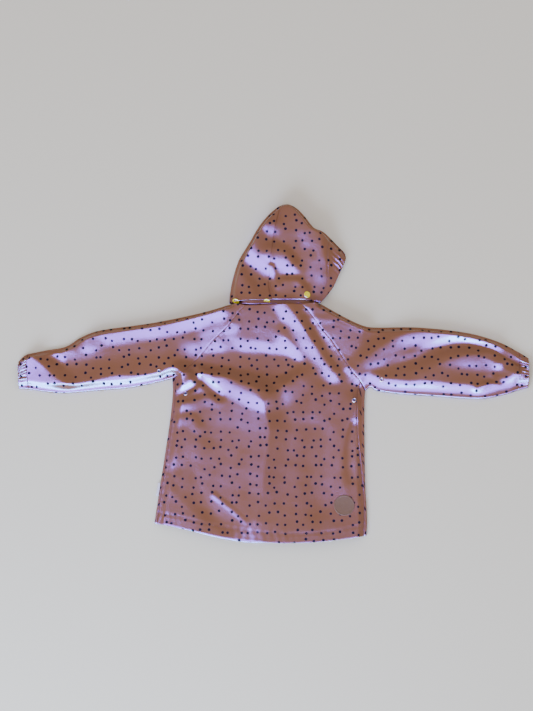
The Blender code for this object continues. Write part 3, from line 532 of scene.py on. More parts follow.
def back_panel():
    armpit = 0.52           # share of its sides at which they turn from the side seams to the raglans
    left = joined(stretch("seam_left", shift=(SEAM_GAP, 0)),
                  stretch("raglan_left", 0.045, shift=(SEAM_GAP, -SEAM_GAP)), armpit)
    right = joined(stretch("seam_right", shift=(-SEAM_GAP, 0)),
                   stretch("raglan_right", 0.09, shift=(-SEAM_GAP, -SEAM_GAP)), armpit)
    hem, neck = stretch("hem", 0.013, 0.987), stretch("neck", shift=(0, -0.3))

    def plan(share, v):
        return fill(left, right, hem, neck, share, v)

    def turned_under(v):
        """Length of hem past the turn, and the part of it that rolls round the edge."""
        past = np.maximum(-v, 0) * BACK_LENGTH
        return past, np.minimum(past, math.pi * HEM_ROLL)

    def place(share, angle, v):
        past, rolled = turned_under(v)
        spot = plan(share, np.maximum(v, 0))
        spot[..., 1] += past - rolled - HEM_REACH * np.sin(rolled / HEM_ROLL)
        points = raise_up(spot, angle, coat_top, coat_under)
        points[..., 2] -= HEM_ROLL * (1 - np.cos(rolled / HEM_ROLL))
        return points

    def pattern(share, angle, v):
        return plan(share, np.maximum(v, 0)) - np.array([0, 1]) * turned_under(v)[0][..., None]
    columns = layer(close_to_ends(150, 340))
    turning = fractions(6, 0, math.pi * HEM_ROLL) + [4.5, 7, 10, 13, HEM_TURNING]
    rows = [-past / BACK_LENGTH for past in reversed(turning)] + fractions(172)[1:]
    return cloth("back_cloth", columns, rows, place, pattern, cloth_look, thickness=0.4)


back = back_panel()
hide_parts("back_panel")


# ---- Sleeves -------------------------------------------------------------------------------------
# Each raglan sleeve is one cut of the same coated cloth, seamed under the arm and run up to the neck
# as a tube. It lies pressed flat at its upper and lower edges and puffs up between them, and a
# slanting crease near the wrist shows where the elastic draws it in.

ROLL = [-75, -60, -45, -30, -15, 0, 15, 30, 45, 60, 75]
NECK_SHARE = 5 / 6      # share of a sleeve's columns at its armhole, the rest are at the neck


def ring_columns(under_count, top_shares):
    """Columns round a pressed tube: lower layer, far roll, upper layer and near roll."""
    under = layer(fractions(under_count), -90)
    far_roll = [(1, angle) for angle in ROLL]
    top = layer(reversed(top_shares))
    near_roll = [(0, angle) for angle in reversed(ROLL)]
    return under + far_roll + top + near_roll + [(0, -90)]


def pressed_tube(name, chord, columns, rows, raised=None):
    """Sew a tube that lies pressed flat, lifted by raised(share, angle, v)."""
    def place(share, angle, v):
        points = raise_up(chord_point(chord, share, angle, v), angle, coat_top, coat_under)
        if raised:
            points[:, 2] += raised(share, angle, v)
        return points

    def pattern(share, angle, v):
        return unrolled(chord, share, angle, v)
    return cloth(name, columns, rows, place, pattern, cloth_look, closed=True)


def sleeve(side):
    near, far = stretch(f"sleeve_{side}_bottom"), stretch(f"sleeve_{side}_top")
    neck_end = CURVES["raglan_" + side][-1]
    start, end = near(np.zeros(1))[0], far(np.zeros(1))[0]
    corner = NECK_SHARE + (1 - 2 * NECK_SHARE) * FOLD / np.linalg.norm(end - start)
    armhole = joined(stretch("raglan_" + side), straight(neck_end, end), corner)
    wrist = between(near, far, 1)

    def chord(share, v):
        return fill(near, far, armhole, wrist, share, v)
    rows = [1 - (1 - step) ** 1.15 for step in close_to_ends(124, 290)]
    return pressed_tube(f"sleeve_{side}_cloth", chord, ring_columns(10, fractions(54)), rows)


sleeves = {}
for side in ("left", "right"):
    sleeves[side] = sleeve(side)
    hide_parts("sleeve_" + side)


# ---- Cuffs ---------------------------------------------------------------------------------------
# Each cuff is the sleeve's own end turned in over an 8 mm elastic and stitched, so its upper layer
# stands in short uneven gathers. The left cuff's lower part is pulled out flat and smooth.

GATHERS = 11
STITCH_LINE = 0.12      # share of the cuff's depth at which the turning is stitched down


def cuff(side, smooth, gather_height):
    """Sew a cuff, whose gathers start after `smooth` eighths of its width."""
    near, far = stretch(f"cuff_{side}_bottom"), stretch(f"cuff_{side}_top")
    wrist, end = between(near, far, 0), between(near, far, 1)

    def chord(share, v):
        return fill(near, far, wrist, end, share, v)

    def gathered(share, angle, v):
        turn = GATHERS * share + 0.25 * np.sin(9 * share) + 0.12 * np.sin(5 * v + 23 * share)
        phase = 2 * math.pi * turn
        wave = 0.5 + 0.38 * np.sin(phase) + 0.19 * np.sin(2 * phase)
        uneven = 0.75 + 0.3 * np.sin(31 * share)
        fading = ease(share / 0.12 - smooth) * ease((1 - share) / 0.1) * uneven
        stitched = 1 - 0.55 * bell(v - STITCH_LINE, 0.08)
        return np.where(angle >= 90, gather_height * wave * fading * stitched, 0)
    columns = ring_columns(12, fractions(12 * GATHERS))
    return pressed_tube(f"cuff_{side}_cloth", chord, columns, fractions(16), gathered)


cuffs = {}
for side, smooth, gather_height in (("left", 1.6, 1.9), ("right", 0.3, 1.1)):
    cuffs[side] = cuff(side, smooth, gather_height)
    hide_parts("cuff_" + side)


# ---- Fronts --------------------------------------------------------------------------------------
# The fronts lie flat on the surface under the back, cut from the same cloth. Each runs from its
# placket round the pressed side to the side seam, and the left front laps over the right one.

PLACKET_LAP = 15.0      # half width of the placket
PLACKET_FOOT, PLACKET_HEAD = (-24, -315.4), (-0.5, 118.2)
LAYER = 0.3             # gap between lapped layers
WALL = 1.6              # the walls of the solids, which the lapped layers keep between them
PLACKET_SNAPS = [(-0.5 + (y - 118) * 0.054, y) for y in (90, 2, -86, -174, -262)]
SNAP_RISE = 1.0
SNAP_CLEARANCE = 6.4    # just over the radius of a snap


def placket_rise(x, y):
    """How far the lapped fronts lie up over the placket's snaps."""
    spans = [np.hypot(x - at_x, y - at_y) for at_x, at_y in PLACKET_SNAPS]
    return SNAP_RISE * (1 - ease((np.minimum.reduce(spans) - SNAP_CLEARANCE) / 6))


def front(side, sign):
    """Sew a front: flat from the placket out, then rolled round the coat's side up to the seam."""
    last_row, armpit_row, flat_columns = 180, 100, 40
    armpit = armpit_row / last_row
    middle = straight(PLACKET_FOOT, PLACKET_HEAD)
    edge, seam = stretch("side_" + side), stretch("seam_" + side)
    raglan = stretch("raglan_" + side, 0.035, shift=(-sign * 0.6, -0.5))
    lap = 2 * PLACKET_LAP + 4

    def beside(v):
        return middle(v) + np.array([sign * (lap - PLACKET_LAP), 0])

    def inward(v):
        across = seam(v / armpit) - edge(v / armpit)
        width = np.linalg.norm(across, axis=-1)
        return across / width[..., None], width

    def foot(v):
        return edge(v / armpit) + inward(v)[0] * FOLD

    def outline(v):
        above = raglan((v - armpit) / (1 - armpit))
        return np.where((v <= armpit + 1e-6)[..., None], foot(v), above)

    def hem(t):
        line = between(beside, foot, 0)(t)
        line[..., 1] = np.interp(line[..., 0], *CURVES["hem"].T) + 0.3 * (1 - np.asarray(t))
        return line
    neck = between(beside, outline, 1)

    def flat_point(share, v):
        flat = fill(beside, outline, hem, neck, np.clip(share, 0, 1), v)
        flat[..., 0] += sign * lap * np.minimum(share, 0)
        return flat

    def place(share, angle, v):
        toward, width = inward(v)
        rolled = np.where(angle < 90, FOLD * (1 - np.cos(np.radians(angle))),
                          FOLD + (width - 0.2 - FOLD) * (share - 1))
        wrapped = edge(v / armpit) + toward * rolled[..., None]
        plan = np.where((angle > -90)[..., None], wrapped, flat_point(share, v))
        x, y = plan[..., 0], plan[..., 1]
        z = FOLD + FOLD * np.sin(np.radians(angle))
        z = np.where(angle >= 90, coat_top(x, y), z)
        if sign < 0:
            z = z + (WALL + LAYER) * ease(-share / 0.1)
        z = z + np.where(angle <= -90, placket_rise(x, y), 0)
        return np.stack([x, y, z], -1)

    def pattern(share, angle, v):
        toward, width = inward(v)
        rolled = np.where(angle < 90, FOLD * (1 + math.pi / 2 + np.radians(angle)) - 2 * FOLD,
                          FOLD * (math.pi - 1) + (width - FOLD) * (share - 1))
        wrapped = edge(v / armpit) - toward * rolled[..., None]
        return np.where((angle > -90)[..., None], wrapped, flat_point(share, v))

    columns = layer(fractions(16, -1, -0.1) + fractions(4, -0.08, 0), -90)
    columns += layer(fractions(flat_columns)[1:], -90)
    wrapped_from = len(columns)
    columns += [(1, angle) for angle in ROLL] + layer(fractions(4, 1, 2))

    def left_out(column, row):
        return column >= wrapped_from and row > armpit_row
    return cloth(f"front_{side}_cloth", columns, fractions(last_row), place, pattern, cloth_look,
                 left_out=left_out)


fronts = {}
for side, sign in (("left", -1), ("right", 1)):
    fronts[side] = front(side, sign)
    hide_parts("front_" + side)


# ---- Collar --------------------------------------------------------------------------------------
# The stand collar is a straight band of the cloth, pressed flat: its back shows as a thin strip
# between the coat's neck and the hood's edge, and its two ends lie under it on the surface.

COLLAR_HEIGHT = 31.0
HOOD_OUTLINES = {
    "hood_rim": [(-82, 125), (-81, 142), (-76, 171), (-67, 202), (-59, 218), (-44, 243), (-29, 270),
                 (-14, 290), (1, 305), (17, 316.2), (32, 315.2), (47, 306), (62, 289), (76, 271),
                 (93, 263), (108, 249), (122, 234), (131, 225), (136, 217)],
    "hood_under_hem": [(-82, 125.5), (-53, 121), (0, 120.5), (52, 122), (88, 126.5)],
    "hood_face": [(88, 126.5), (104, 145), (114, 160), (122, 178), (131, 198), (135, 207), (136, 214)],
    "hood_seam": [(-1, 129), (-7, 151), (-7, 176), (-3, 211), (1, 243), (7, 276), (17, 315.2)],
    "hood_hem": [(-82, 127), (-53, 128.5), (-3, 129), (50, 129), (72, 128), (88, 126.5)],
    "casing": [(84, 126), (94, 145), (99.5, 162), (101.5, 180), (101.5, 202), (102, 226), (106, 251)],
}
CURVES.update({name: smooth_curve(points, 10) for name, points in HOOD_OUTLINES.items()})

#  path                                                          start  end  right left crisp
HOOD_FOLDS = [
    ([(-40, 262), (-21, 272), (0, 270)], 4, 3, 26, 24, .2),
    ([(-36, 240), (-27, 219), (-3, 203)], 4, 3, 30, 28, .1),
    ([(-66, 208), (-40, 187), (-12, 166)], -3, -2, 34, 26, .2),
    ([(0, 224), (18, 216), (37, 194)], 4, 5, 30, 20, .1),
    ([(44, 240), (48, 205), (40, 178)], -1.5, -1, 26, 24, .1),
    ([(24, 165), (44, 163), (60, 149)], 4, 4, 32, 14, .3),
    ([(67, 202), (54, 171)], 1.5, 2, 30, 18, .2),
    ([(108, 240), (112, 214), (120, 206)], -5, -1, 22, 20, .1),
    ([(-3, 190), (3, 173), (8, 154)], 2, 1, 12, 9, .2),
    ([(82, 258), (90, 232), (96, 205), (99, 175)], 4, 5, 42, 26, .2),
]
HOOD_CREASES = [
    ([(-60, 176), (-46, 158), (-40, 140)], 2, 2, 30, 18, .1),
    ([(58, 158), (70, 142), (84, 134)], -1, -2, 12, 14, .1),
]
HOOD_LOFT = [(120, 22), (140, 18), (165, 16), (185, 18), (215, 22), (250, 26), (285, 29), (320, 28)]
FACE_HEIGHT = 11.0      # of the hood at its face opening, and the most at its lower edge
HOOD_HEM_HEIGHT = 23.0


def hood_rim(x, y):
    """Distance in from the hood's pressed edge and crown seam, zero outside them."""
    distance, side, share = nearest(x, y, CURVES["hood_rim"])
    return np.where((side > 0) & (distance < FOLD), 0, distance)


def hood_top(x, y):
    """Height of the hood's upper layer, over the collar and open at the face."""
    rim = hood_rim(x, y)
    face = nearest(x, y, CURVES["hood_face"])[0]
    hem = nearest(x, y, CURVES["hood_hem"])[0]
    folds = fold_heights(x, y, HOOD_FOLDS) + fold_heights(x, y, HOOD_CREASES)
    puff = np.interp(y, *smooth_curve(HOOD_LOFT, 8).T) + FOLD_RELIEF * folds - 2 * FOLD + rumple(x, y)
    at_face = FACE_HEIGHT - 2 * FOLD
    puff = at_face + (puff - at_face) * ease(face / 42)
    puff = puff - np.maximum(0, puff - HOOD_HEM_HEIGHT + 2 * FOLD) * (1 - ease(hem / 6))
    return roll_up(rim) + ease((rim - FOLD) / 8) * puff


def hood_under(x, y):
    """Height of the hood's lower layer, which lies flat between its rolled edges."""
    return roll_under(hood_rim(x, y))


def collar():
    low = WALL + LAYER
    left_end, right_end, opening = -70.0, 76.0, 4.0
    neck_line = ([left_end, -50, 50, right_end], [121.0, 120.0, 120.8, 122.8])
    fold_to_fold = right_end - left_end - 2 * FOLD

    def upper(x, y):
        at_end = np.minimum(x - left_end, right_end - x) - FOLD
        roof = hood_top(x, np.maximum(y, 131)) - 1.5 * WALL - LAYER
        free = low + 2 * FOLD + (coat_top(x, 0 * x + 120) - low - 2 * FOLD) * ease(at_end / 16)
        return np.minimum(free, roof)

    def place(share, angle, v):
        roll = FOLD * np.cos(np.radians(angle))
        x = left_end + FOLD + fold_to_fold * share + np.where(share > 0.5, roll, -roll)
        y = np.interp(x, *neck_line) * (1 - v) + (neck_line[1][1] + COLLAR_HEIGHT) * v
        z = low + FOLD + FOLD * np.sin(np.radians(angle))
        z = np.where(angle >= 90, upper(x, y), z)
        return np.stack([x, y, z], -1)

    def pattern(share, angle, v):
        run = left_end + fold_to_fold * share
        run = run + np.where(share > 0.5, 1, -1) * FOLD * np.radians(90 - angle)
        run = np.where(angle <= -90, run * 0.5, run)
        return np.stack([run, 3 * COLLAR_HEIGHT + COLLAR_HEIGHT * v], -1)

    gap = opening / (right_end - left_end)
    columns = layer(fractions(16, 0.5 - gap, 0), -90)
    columns += [(0, angle) for angle in ROLL]
    columns += layer(fractions(60))
    columns += [(1, angle) for angle in reversed(ROLL)]
    columns += layer(fractions(16, 1, 0.5 + gap), -90)
    return cloth("collar_cloth", columns, fractions(14), place, pattern, cloth_look)


collar_piece = collar()
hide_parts("collar")


# ---- Hood ----------------------------------------------------------------------------------------
# The hood is cut in two panels that meet in a seam from the neck to the crown, where the right
# panel's edge stands over the left one. It lies pressed flat with its face opening to the right,
# and snaps hold its lower edge over the collar. Its lower layer is part of the left panel.

# Places along the hood's pressed edge: where its crown starts, where it peaks and where it ends.
CROWN_LEFT, PEAK, CROWN_RIGHT = 0.553, 0.583, 0.613
CROWN_STOP = 0.992      # the panels end just short of the crown
SEAM_STEP = 0.9         # how far the left panel dips at the seam, and the right one stands up


def seam_step(points, width):
    """How much of the step at the hood's seam there is at each point."""
    return SEAM_STEP * (1 - ease(nearest(points[:, 0], points[:, 1], CURVES["hood_seam"])[0] / width))


def hood_left():
    corner = 0.42           # share of the lower layer's right side at which the face opening ends
    rim_left = stretch("hood_rim", 0.0, CROWN_LEFT)
    crown_left, crown_right = stretch("hood_rim", CROWN_LEFT, PEAK), stretch("hood_rim", PEAK, CROWN_RIGHT)
    seam = stretch("hood_seam", shift=(1.2, 0))
    top_edge = joined(crown_left, crown_right, 0.5)
    right_under = joined(stretch("hood_face"), stretch("hood_rim", 1.0, CROWN_RIGHT), corner)

    def plan_over(share, v):
        return fill(rim_left, seam, stretch("hood_hem", 0.0, 0.474), crown_left, share, v)

    def plan_under(share, v):
        return fill(rim_left, right_under, stretch("hood_under_hem"), top_edge, share, v)

    def place(share, angle, v):
        over = chord_point(plan_over, share, angle, v, far=0)
        below = chord_point(plan_under, share, angle, v)
        plan = np.where((angle > 0)[..., None], over, below)
        points = raise_up(plan, angle, hood_top, hood_under)
        points[:, 2] -= np.where(angle >= 90, seam_step(points, 3), 0)
        return points

    def pattern(share, angle, v):
        width = width_across(plan_over, v)
        roll = FOLD * (1 - math.pi / 2 + np.radians(angle)) / width
        over = plan_over(np.where(angle >= 90, share + (1 - share) * FOLD / width, roll), v)
        beneath = plan_under(share, v) * np.array([-1, 1]) - np.array([190, 0])
        outside = (angle >= 90) | ((angle > -90) & (share < 0.5))
        return np.where(outside[..., None], over, beneath)

    columns = layer(reversed(close_to_ends(34, 80, at_start=False)))
    columns += [(0, angle) for angle in reversed(ROLL)]
    columns += layer(fractions(20), -90) + [(1, angle) for angle in (-75, -60, -45, -30, -8)]
    rows = [CROWN_STOP * v for v in close_to_ends(96, 190)]
    return cloth("hood_left_cloth", columns, rows, place, pattern, cloth_look)


def hood_right():
    casing_share = 0.56     # share of the panel's right side that meets the casing
    left = stretch("hood_seam", shift=(-0.6, 0))
    right = joined(stretch("casing", shift=(-SEAM_GAP, 0)), stretch("hood_rim", 0.878, CROWN_RIGHT),
                   casing_share)
    hem = stretch("hood_hem", 0.470, 0.972)
    top_edge = stretch("hood_rim", PEAK, CROWN_RIGHT)

    def plan(share, v):
        return fill(left, right, hem, top_edge, share, v)

    def place(share, angle, v):
        points = raise_up(chord_point(plan, share, angle, v, near=0), angle, hood_top, hood_under)
        points[:, 2] += np.where(angle >= 90, seam_step(points, 4.5), 0)
        return points

    def pattern(share, angle, v):
        return unrolled(plan, share, angle, v, near=0)
    columns = layer(close_to_ends(40, 100))
    columns += [(1, angle) for angle in (75, 60, 45, 30, 15, 8)]
    rows = fractions(56, 0, casing_share) + fractions(44, casing_share, CROWN_STOP)[1:]
    return cloth("hood_right_cloth", columns, rows, place, pattern, cloth_look)


hood = {"left": hood_left(), "right": hood_right()}
for side in hood:
    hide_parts("hood_" + side)


# ---- Hood casing ---------------------------------------------------------------------------------
# A strip along the face opening, turned in over an elastic cord and stitched down, so that it
# stands in gathers that crowd towards the tip of the hood's edge.

CASING_GATHERS = 12
CASING_GATHER_HEIGHT = 1.3


def hood_casing():
    face = stretch("hood_face")
    inner = stretch("casing", shift=(SEAM_GAP, 0))
    foot = between(inner, face, 0)
    tip = stretch("hood_rim", 0.892, 1.0)

    def plan(share, v):
        return fill(inner, face, foot, tip, share, v)

    def place(share, angle, v):
        points = raise_up(plan(share, v), angle, hood_top, hood_under)
        turn = CASING_GATHERS * v + 0.3 * np.sin(7 * v) + 0.1 * np.sin(6 * share)
        wave = 0.5 + 0.5 * np.sin(2 * math.pi * turn)
        uneven = 0.7 + 0.3 * np.sin(19 * v)
        fading = ease(share * 1.3) * ease((v - 0.45) * 3) * ease((0.94 - v) * 12) * uneven
        points[:, 2] += CASING_GATHER_HEIGHT * wave * fading
        return points

    def pattern(share, angle, v):
        return plan(share, v)
    columns = layer(fractions(20))
    rows = fractions(12 * CASING_GATHERS, 0, 0.985)
    return cloth("hood_casing_cloth", columns, rows, place, pattern, cloth_look)


casing = hood_casing()
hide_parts("hood_casing")


# ---- Snaps ---------------------------------------------------------------------------------------
# Each snap is a moulded acetal cap with a raised ring round a dished middle. Three hold the hood's
# lower edge over the collar, the left two leaning over that edge, and five close the placket, where
# they lie flush with the surface under the coat.

CAP_RADIUS = 6.2
HOOD_CAP = [(0, 0), (5.2, 0), (6.0, 0.4), (6.2, 0.9), (5.9, 1.5), (5.2, 1.9), (4.6, 1.95), (4.2, 1.75),
            (3.6, 1.72), (2, 1.95), (0, 2.05)]
PLACKET_CAP = [(0, 0.25), (3.4, 0.12), (3.9, 0), (5.2, 0), (5.9, 0.2), (6.2, 0.6), (6.2, 1.06), (0, 1.06)]


def moulded_look(name, base, shade, roughness, grain, bump_strength, ior, shine=0.5):
    """A moulded material: slow changes of colour and gloss, and a grain of `grain` millimetres."""
    look, tree, coordinates = new_look(name)
    place = coordinates["Object"]
    patchy = add_node(tree, "TexNoise", {"Scale": 180.0, "Detail": 3.0}, {"Vector": place})
    ground = add_node(tree, "Mix", {"data_type": "RGBA", 6: hexed(base), 7: hexed(shade)}, {0: patchy})
    gloss = add_node(tree, "MapRange", {"To Min": roughness[0], "To Max": roughness[1]},
                     {"Value": patchy})
    fine = add_node(tree, "TexNoise", {"Scale": 1000 / grain, "Detail": 2.0}, {"Vector": place})
    bump = add_node(tree, "Bump", {"Strength": bump_strength, "Distance": 0.0002}, {"Height": fine})
    return finish_look(look, {"IOR": ior, "Specular IOR Level": shine},
                       {"Base Color": ground.outputs[2], "Roughness": gloss,
                        "Normal": bump})


# Acetal is smooth and glossy, with only faint flow marks.
snap_plastic = moulded_look("yellow_acetal", "#F3E90C", "#E6D808", (0.2, 0.3), 2.5, 0.05, 1.48)


def spun(name, profile, steps, look, seat, rise=None):
    """Turn a profile of (radius, height) round Z, move it to its seat and lift it by rise(x, y)."""
    bm = bmesh.new()
    verts = [bm.verts.new((radius * MM, 0, height * MM)) for radius, height in profile]
    edges = [bm.edges.new(pair) for pair in zip(verts, verts[1:])]
    bmesh.ops.spin(bm, geom=verts + edges, cent=(0, 0, 0), axis=(0, 0, 1), angle=2 * math.pi,
                   steps=steps, use_merge=True)
    bmesh.ops.remove_doubles(bm, verts=bm.verts, dist=0.000002)
    bmesh.ops.recalc_face_normals(bm, faces=bm.faces)
    if max(bm.faces, key=lambda face: face.calc_center_median().z).normal.z < 0:
        bmesh.ops.reverse_faces(bm, faces=bm.faces)
    uv = bm.loops.layers.uv.new("UVMap")
    for face in bm.faces:
        for loop in face.loops:
            loop[uv].uv = (math.hypot(loop.vert.co.x, loop.vert.co.y), loop.vert.co.z)
    bm.transform(seat)
    if rise:
        plan = np.array([vert.co for vert in bm.verts]) / MM
        for vert, lift in zip(bm.verts, rise(plan[:, 0], plan[:, 1])):
            vert.co.z += lift * MM
    return make_piece(name, bm, look)


SURFACES = {}


def surface(piece):
    """Search tree of a piece's finished cloth, for seating small parts on it."""
    if piece.name not in SURFACES:
        SURFACES[piece.name] = BVHTree.FromObject(piece, bpy.context.evaluated_depsgraph_get())
    return SURFACES[piece.name]


def land_on(piece, x, y, side=1):
    """Find a piece's surface at (x, y), in millimetres, from above or from below (side -1)."""
    start = Vector((x * MM, y * MM, 0.03 + side * 0.05))
    return surface(piece).ray_cast(start, Vector((0, 0, -side)))[:2]


def seat_on(piece, x, y):
    """Place and turn of a small part that lies on a piece at (x, y)."""
    hit, normal = land_on(piece, x, y)
    return Matrix.Translation(hit) @ normal.to_track_quat("Z", "Y").to_matrix().to_4x4()


def leaning(x, y, turn, lean, proud):
    """Seat of a cap that leans over the hood's lower edge, its top edge `proud` of the cloth."""
    reach = CAP_RADIUS * math.sin(math.radians(lean))
    top = hood_top(np.array([x]), np.array([y + CAP_RADIUS * math.cos(math.radians(lean))]))[0]
    return (Matrix.Translation(Vector((x, y, top + proud - reach)) * MM)
            @ Matrix.Rotation(math.radians(turn), 4, "Z") @ Matrix.Rotation(math.radians(lean), 4, "X"))


snap_seats = [leaning(-69.5, 126.4, -18, 50, 1.3), leaning(-12, 126.3, -10, 52, 1.2),
              seat_on(hood["right"], 62, 138)]
placket_seats = [Matrix.Translation(Vector((x, y, 0)) * MM) for x, y in PLACKET_SNAPS]


def snap_caps(name, node, profile, steps, seats):
    caps = []
    for count, seat in enumerate(seats, 1):
        caps.append(spun(f"{name}_{count}", profile, steps, snap_plastic, seat))
        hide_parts(f"{node}_{count}")
    return caps


hood_snaps = snap_caps("hood_snap_cap", "hood_snap", HOOD_CAP, 36, snap_seats)
placket_snaps = snap_caps("placket_snap_cap", "front_snap", PLACKET_CAP, 32, placket_seats)


# ---- Eyelets -------------------------------------------------------------------------------------
# Each underarm eyelet is a ring stamped from thin metal and lacquered cream, curled over the edge
# of a punched hole. The hole is not cut: a near-black disc inside the ring is its painted shade.

# The profile starts with a flat disc inside the ring, which carries the hole's painted shade.
EYELET_RING = [(0, 0.2), (2.2, 0.2), (2.25, 0.4), (2.5, 0.75), (3.0, 0.9), (3.8, 0.8), (4.4, 0.45),
               (4.6, 0.1), (4.5, -0.2)]


def eyelet_look():
    """Lacquered metal, slightly dulled in patches, and a near-black disc inside the hole as painted shade."""
    look, tree, coordinates = new_look("lacquered_eyelet_metal")
    radius = add_node(tree, "SeparateXYZ", {}, {"Vector": coordinates["UV"]})
    ring = add_node(tree, "MapRange", {"From Min": 0.00218, "From Max": 0.00232},
                    {"Value": radius.outputs["X"]})
    dulled = add_node(tree, "TexNoise", {"Scale": 700.0, "Detail": 3.0},
                      {"Vector": coordinates["Object"]})
    metal = add_node(tree, "Mix", {"data_type": "RGBA", 6: hexed("#8E7C58"), 7: hexed("#756340")},
                     {0: dulled})
    # The near-black colour inside the ring is painted shade, for the shadowed inner cloth seen through the
    # hole.
    colour = add_node(tree, "Mix", {"data_type": "RGBA", 6: hexed("#14100F")},
                      {0: ring, 7: metal.outputs[2]})
    worn = add_node(tree, "MapRange", {"To Min": 0.3, "To Max": 0.5}, {"Value": dulled})
    rough = add_node(tree, "Mix", {2: 0.9}, {0: ring, 3: worn})
    bump = add_node(tree, "Bump", {"Strength": 0.1, "Distance": 0.0001}, {"Height": dulled})
    return finish_look(look, {}, {"Base Color": colour.outputs[2], "Metallic": ring,
                                  "Roughness": rough, "Normal": bump})


eyelet_metal = eyelet_look()
for name, piece, x, y in (("back_left", back, -161, -45), ("back_right", back, 147, -58),
                          ("sleeve_left", sleeves["left"], -210, -5),
                          ("sleeve_right", sleeves["right"], 198, -20)):
    spun("eyelet_ring_" + name, EYELET_RING, 36, eyelet_metal,
                         seat_on(piece, x, y))
    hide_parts("eyelet_" + name)


# ---- Patch ---------------------------------------------------------------------------------------
# A round blank patch of matt beige rubber, bonded to the back near the hem, where it follows the
# cloth. It was moulded with a slight rim.

PATCH_CENTRE = (127, -249)
PATCH_PROFILE = [(0, 0.95), (4, 0.95), (8, 0.95), (12, 0.95), (15.4, 0.95), (16.2, 0.97), (16.6, 1.12),
                 (17.7, 1.12), (18.3, 0.85), (18.5, 0.35), (18.5, -0.2)]

# Moulded rubber is matt, with a fine grain of about half a millimetre from its mould.
patch_rubber = moulded_look("matt_moulded_rubber", "#7A6149", "#6E573F", (0.6, 0.72), 0.5, 0.35, 1.52, 0.04)
patch = spun("round_patch", PATCH_PROFILE, 64, patch_rubber,
             Matrix.Translation(Vector((*PATCH_CENTRE, 0)) * MM), rise=coat_top)
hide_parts("patch")


# ---- Side label ----------------------------------------------------------------------------------
# A short length of woven polyester tape, folded in two round its middle and caught in the left side
# of the coat. It is blank.

LABEL_START, LABEL_END = 0.19, 0.28         # along the left side
LABEL_PLY = 0.25
LABEL_FOLD = 0.32           # radius of its fold
LABEL_REACH = 4.2           # from the start of its seam to its fold
LABEL_TUCK = 0.1
TAPE_RIB = 0.5


def tape_look():
    """Woven polyester tape: fine ribs across a slightly uneven off-white."""
    look, tree, coordinates = new_look("woven_polyester_tape")
    place = coordinates["UV"]
    ribs = add_node(tree, "TexWave", {"Scale": 1000 / (TAPE_RIB * math.pi * 2), "Distortion": 0.4},
                    {"Vector": place})
    cells = add_node(tree, "TexNoise", {"Scale": 900.0, "Detail": 2.0}, {"Vector": place})
    ground = add_node(tree, "Mix", {"data_type": "RGBA", 6: hexed("#DCD8CE"), 7: hexed("#C9C3B6")},
                      {0: cells})
    rough = add_node(tree, "MapRange", {"To Min": 0.6, "To Max": 0.75}, {"Value": cells})
    bump = add_node(tree, "Bump", {"Strength": 0.5, "Distance": 0.0001}, {"Height": ribs.outputs["Fac"]})
    return finish_look(look, {"IOR": 1.5, "Sheen Weight": 0.15},
                       {"Base Color": ground.outputs[2], "Roughness": rough,
                        "Normal": bump})


def side_label():
    """Sew the tape in: out from the side, round its fold and back over itself."""
    flat = LABEL_REACH - LABEL_FOLD - LABEL_TUCK
    half_turn = math.pi * LABEL_FOLD

    def place(share, angle, v):
        turned = share * (2 * flat + half_turn)
        bend = np.clip(turned - flat, 0, half_turn) / LABEL_FOLD
        out = LABEL_TUCK + np.minimum(np.minimum(turned, flat), 2 * flat + half_turn - turned)
        point = along("side_left", LABEL_START + (LABEL_END - LABEL_START) * v)
        slope = 0.25 * (out / LABEL_REACH) * np.sin(5 * v)
        return np.stack([point[:, 0] - out - LABEL_FOLD * np.sin(bend), point[:, 1],
                         FOLD + slope + LABEL_FOLD * np.cos(bend)], -1)

    def pattern(share, angle, v):
        return np.stack([10 * share, 24 * v], -1)
    columns = layer(fractions(28))
    return cloth("folded_side_tab", columns, fractions(16), place, pattern, tape_look(), LABEL_PLY)


label = side_label()
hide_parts("side_label")


# ---- Sewing --------------------------------------------------------------------------------------
# Lock stitches of a twisted polyester thread close to the cloth's colour, 3.1 mm apart: two rows
# beside the raglan and side seams, and one row at the hem, the cuffs, the hood and the placket.

STITCH = (1.15, 0.3, 0.24)                  # half sizes of the part that shows of a stitch
STITCH_PITCH = 3.1
THREAD_TWIST = 0.4


def thread_look():
    """Polyester thread: soft and nearly matt, with its twist drawn as fine slanting ridges, and painted shade
    darkening the grooves between them.
    """
    look, tree, coordinates = new_look("twisted_polyester_thread")
    twist = add_node(tree, "TexWave",
                     {"bands_direction": "DIAGONAL", "Scale": 1000 / (THREAD_TWIST * math.pi * 2)},
                     {"Vector": coordinates["Object"]})
    # The colour follows the twist's ridges: darker in the grooves and lighter on the crests, as painted shade
    # and light.
    shade = add_node(tree, "Mix", {"data_type": "RGBA", 6: hexed("#5E3C36"), 7: hexed("#77504A")},
                     {0: twist.outputs["Fac"]})
    bump = add_node(tree, "Bump", {"Strength": 0.3, "Distance": 0.0001}, {"Height": twist.outputs["Fac"]})
    return finish_look(look, {"Roughness": 0.7, "Specular IOR Level": 0.1, "IOR": 1.5},
                       {"Base Color": shade.outputs[2], "Normal": bump})


thread = thread_look()


def row_beside(name, aside, start, end):
    """Plan points of a stitch row beside a line, `aside` to its left, between two fractions of it."""
    points = along(name, np.linspace(start, end, 90))
    ahead = np.gradient(points, axis=0)
    ahead /= np.linalg.norm(ahead, axis=1)[:, None]
    return points + aside * np.stack([-ahead[:, 1], ahead[:, 0]], -1)


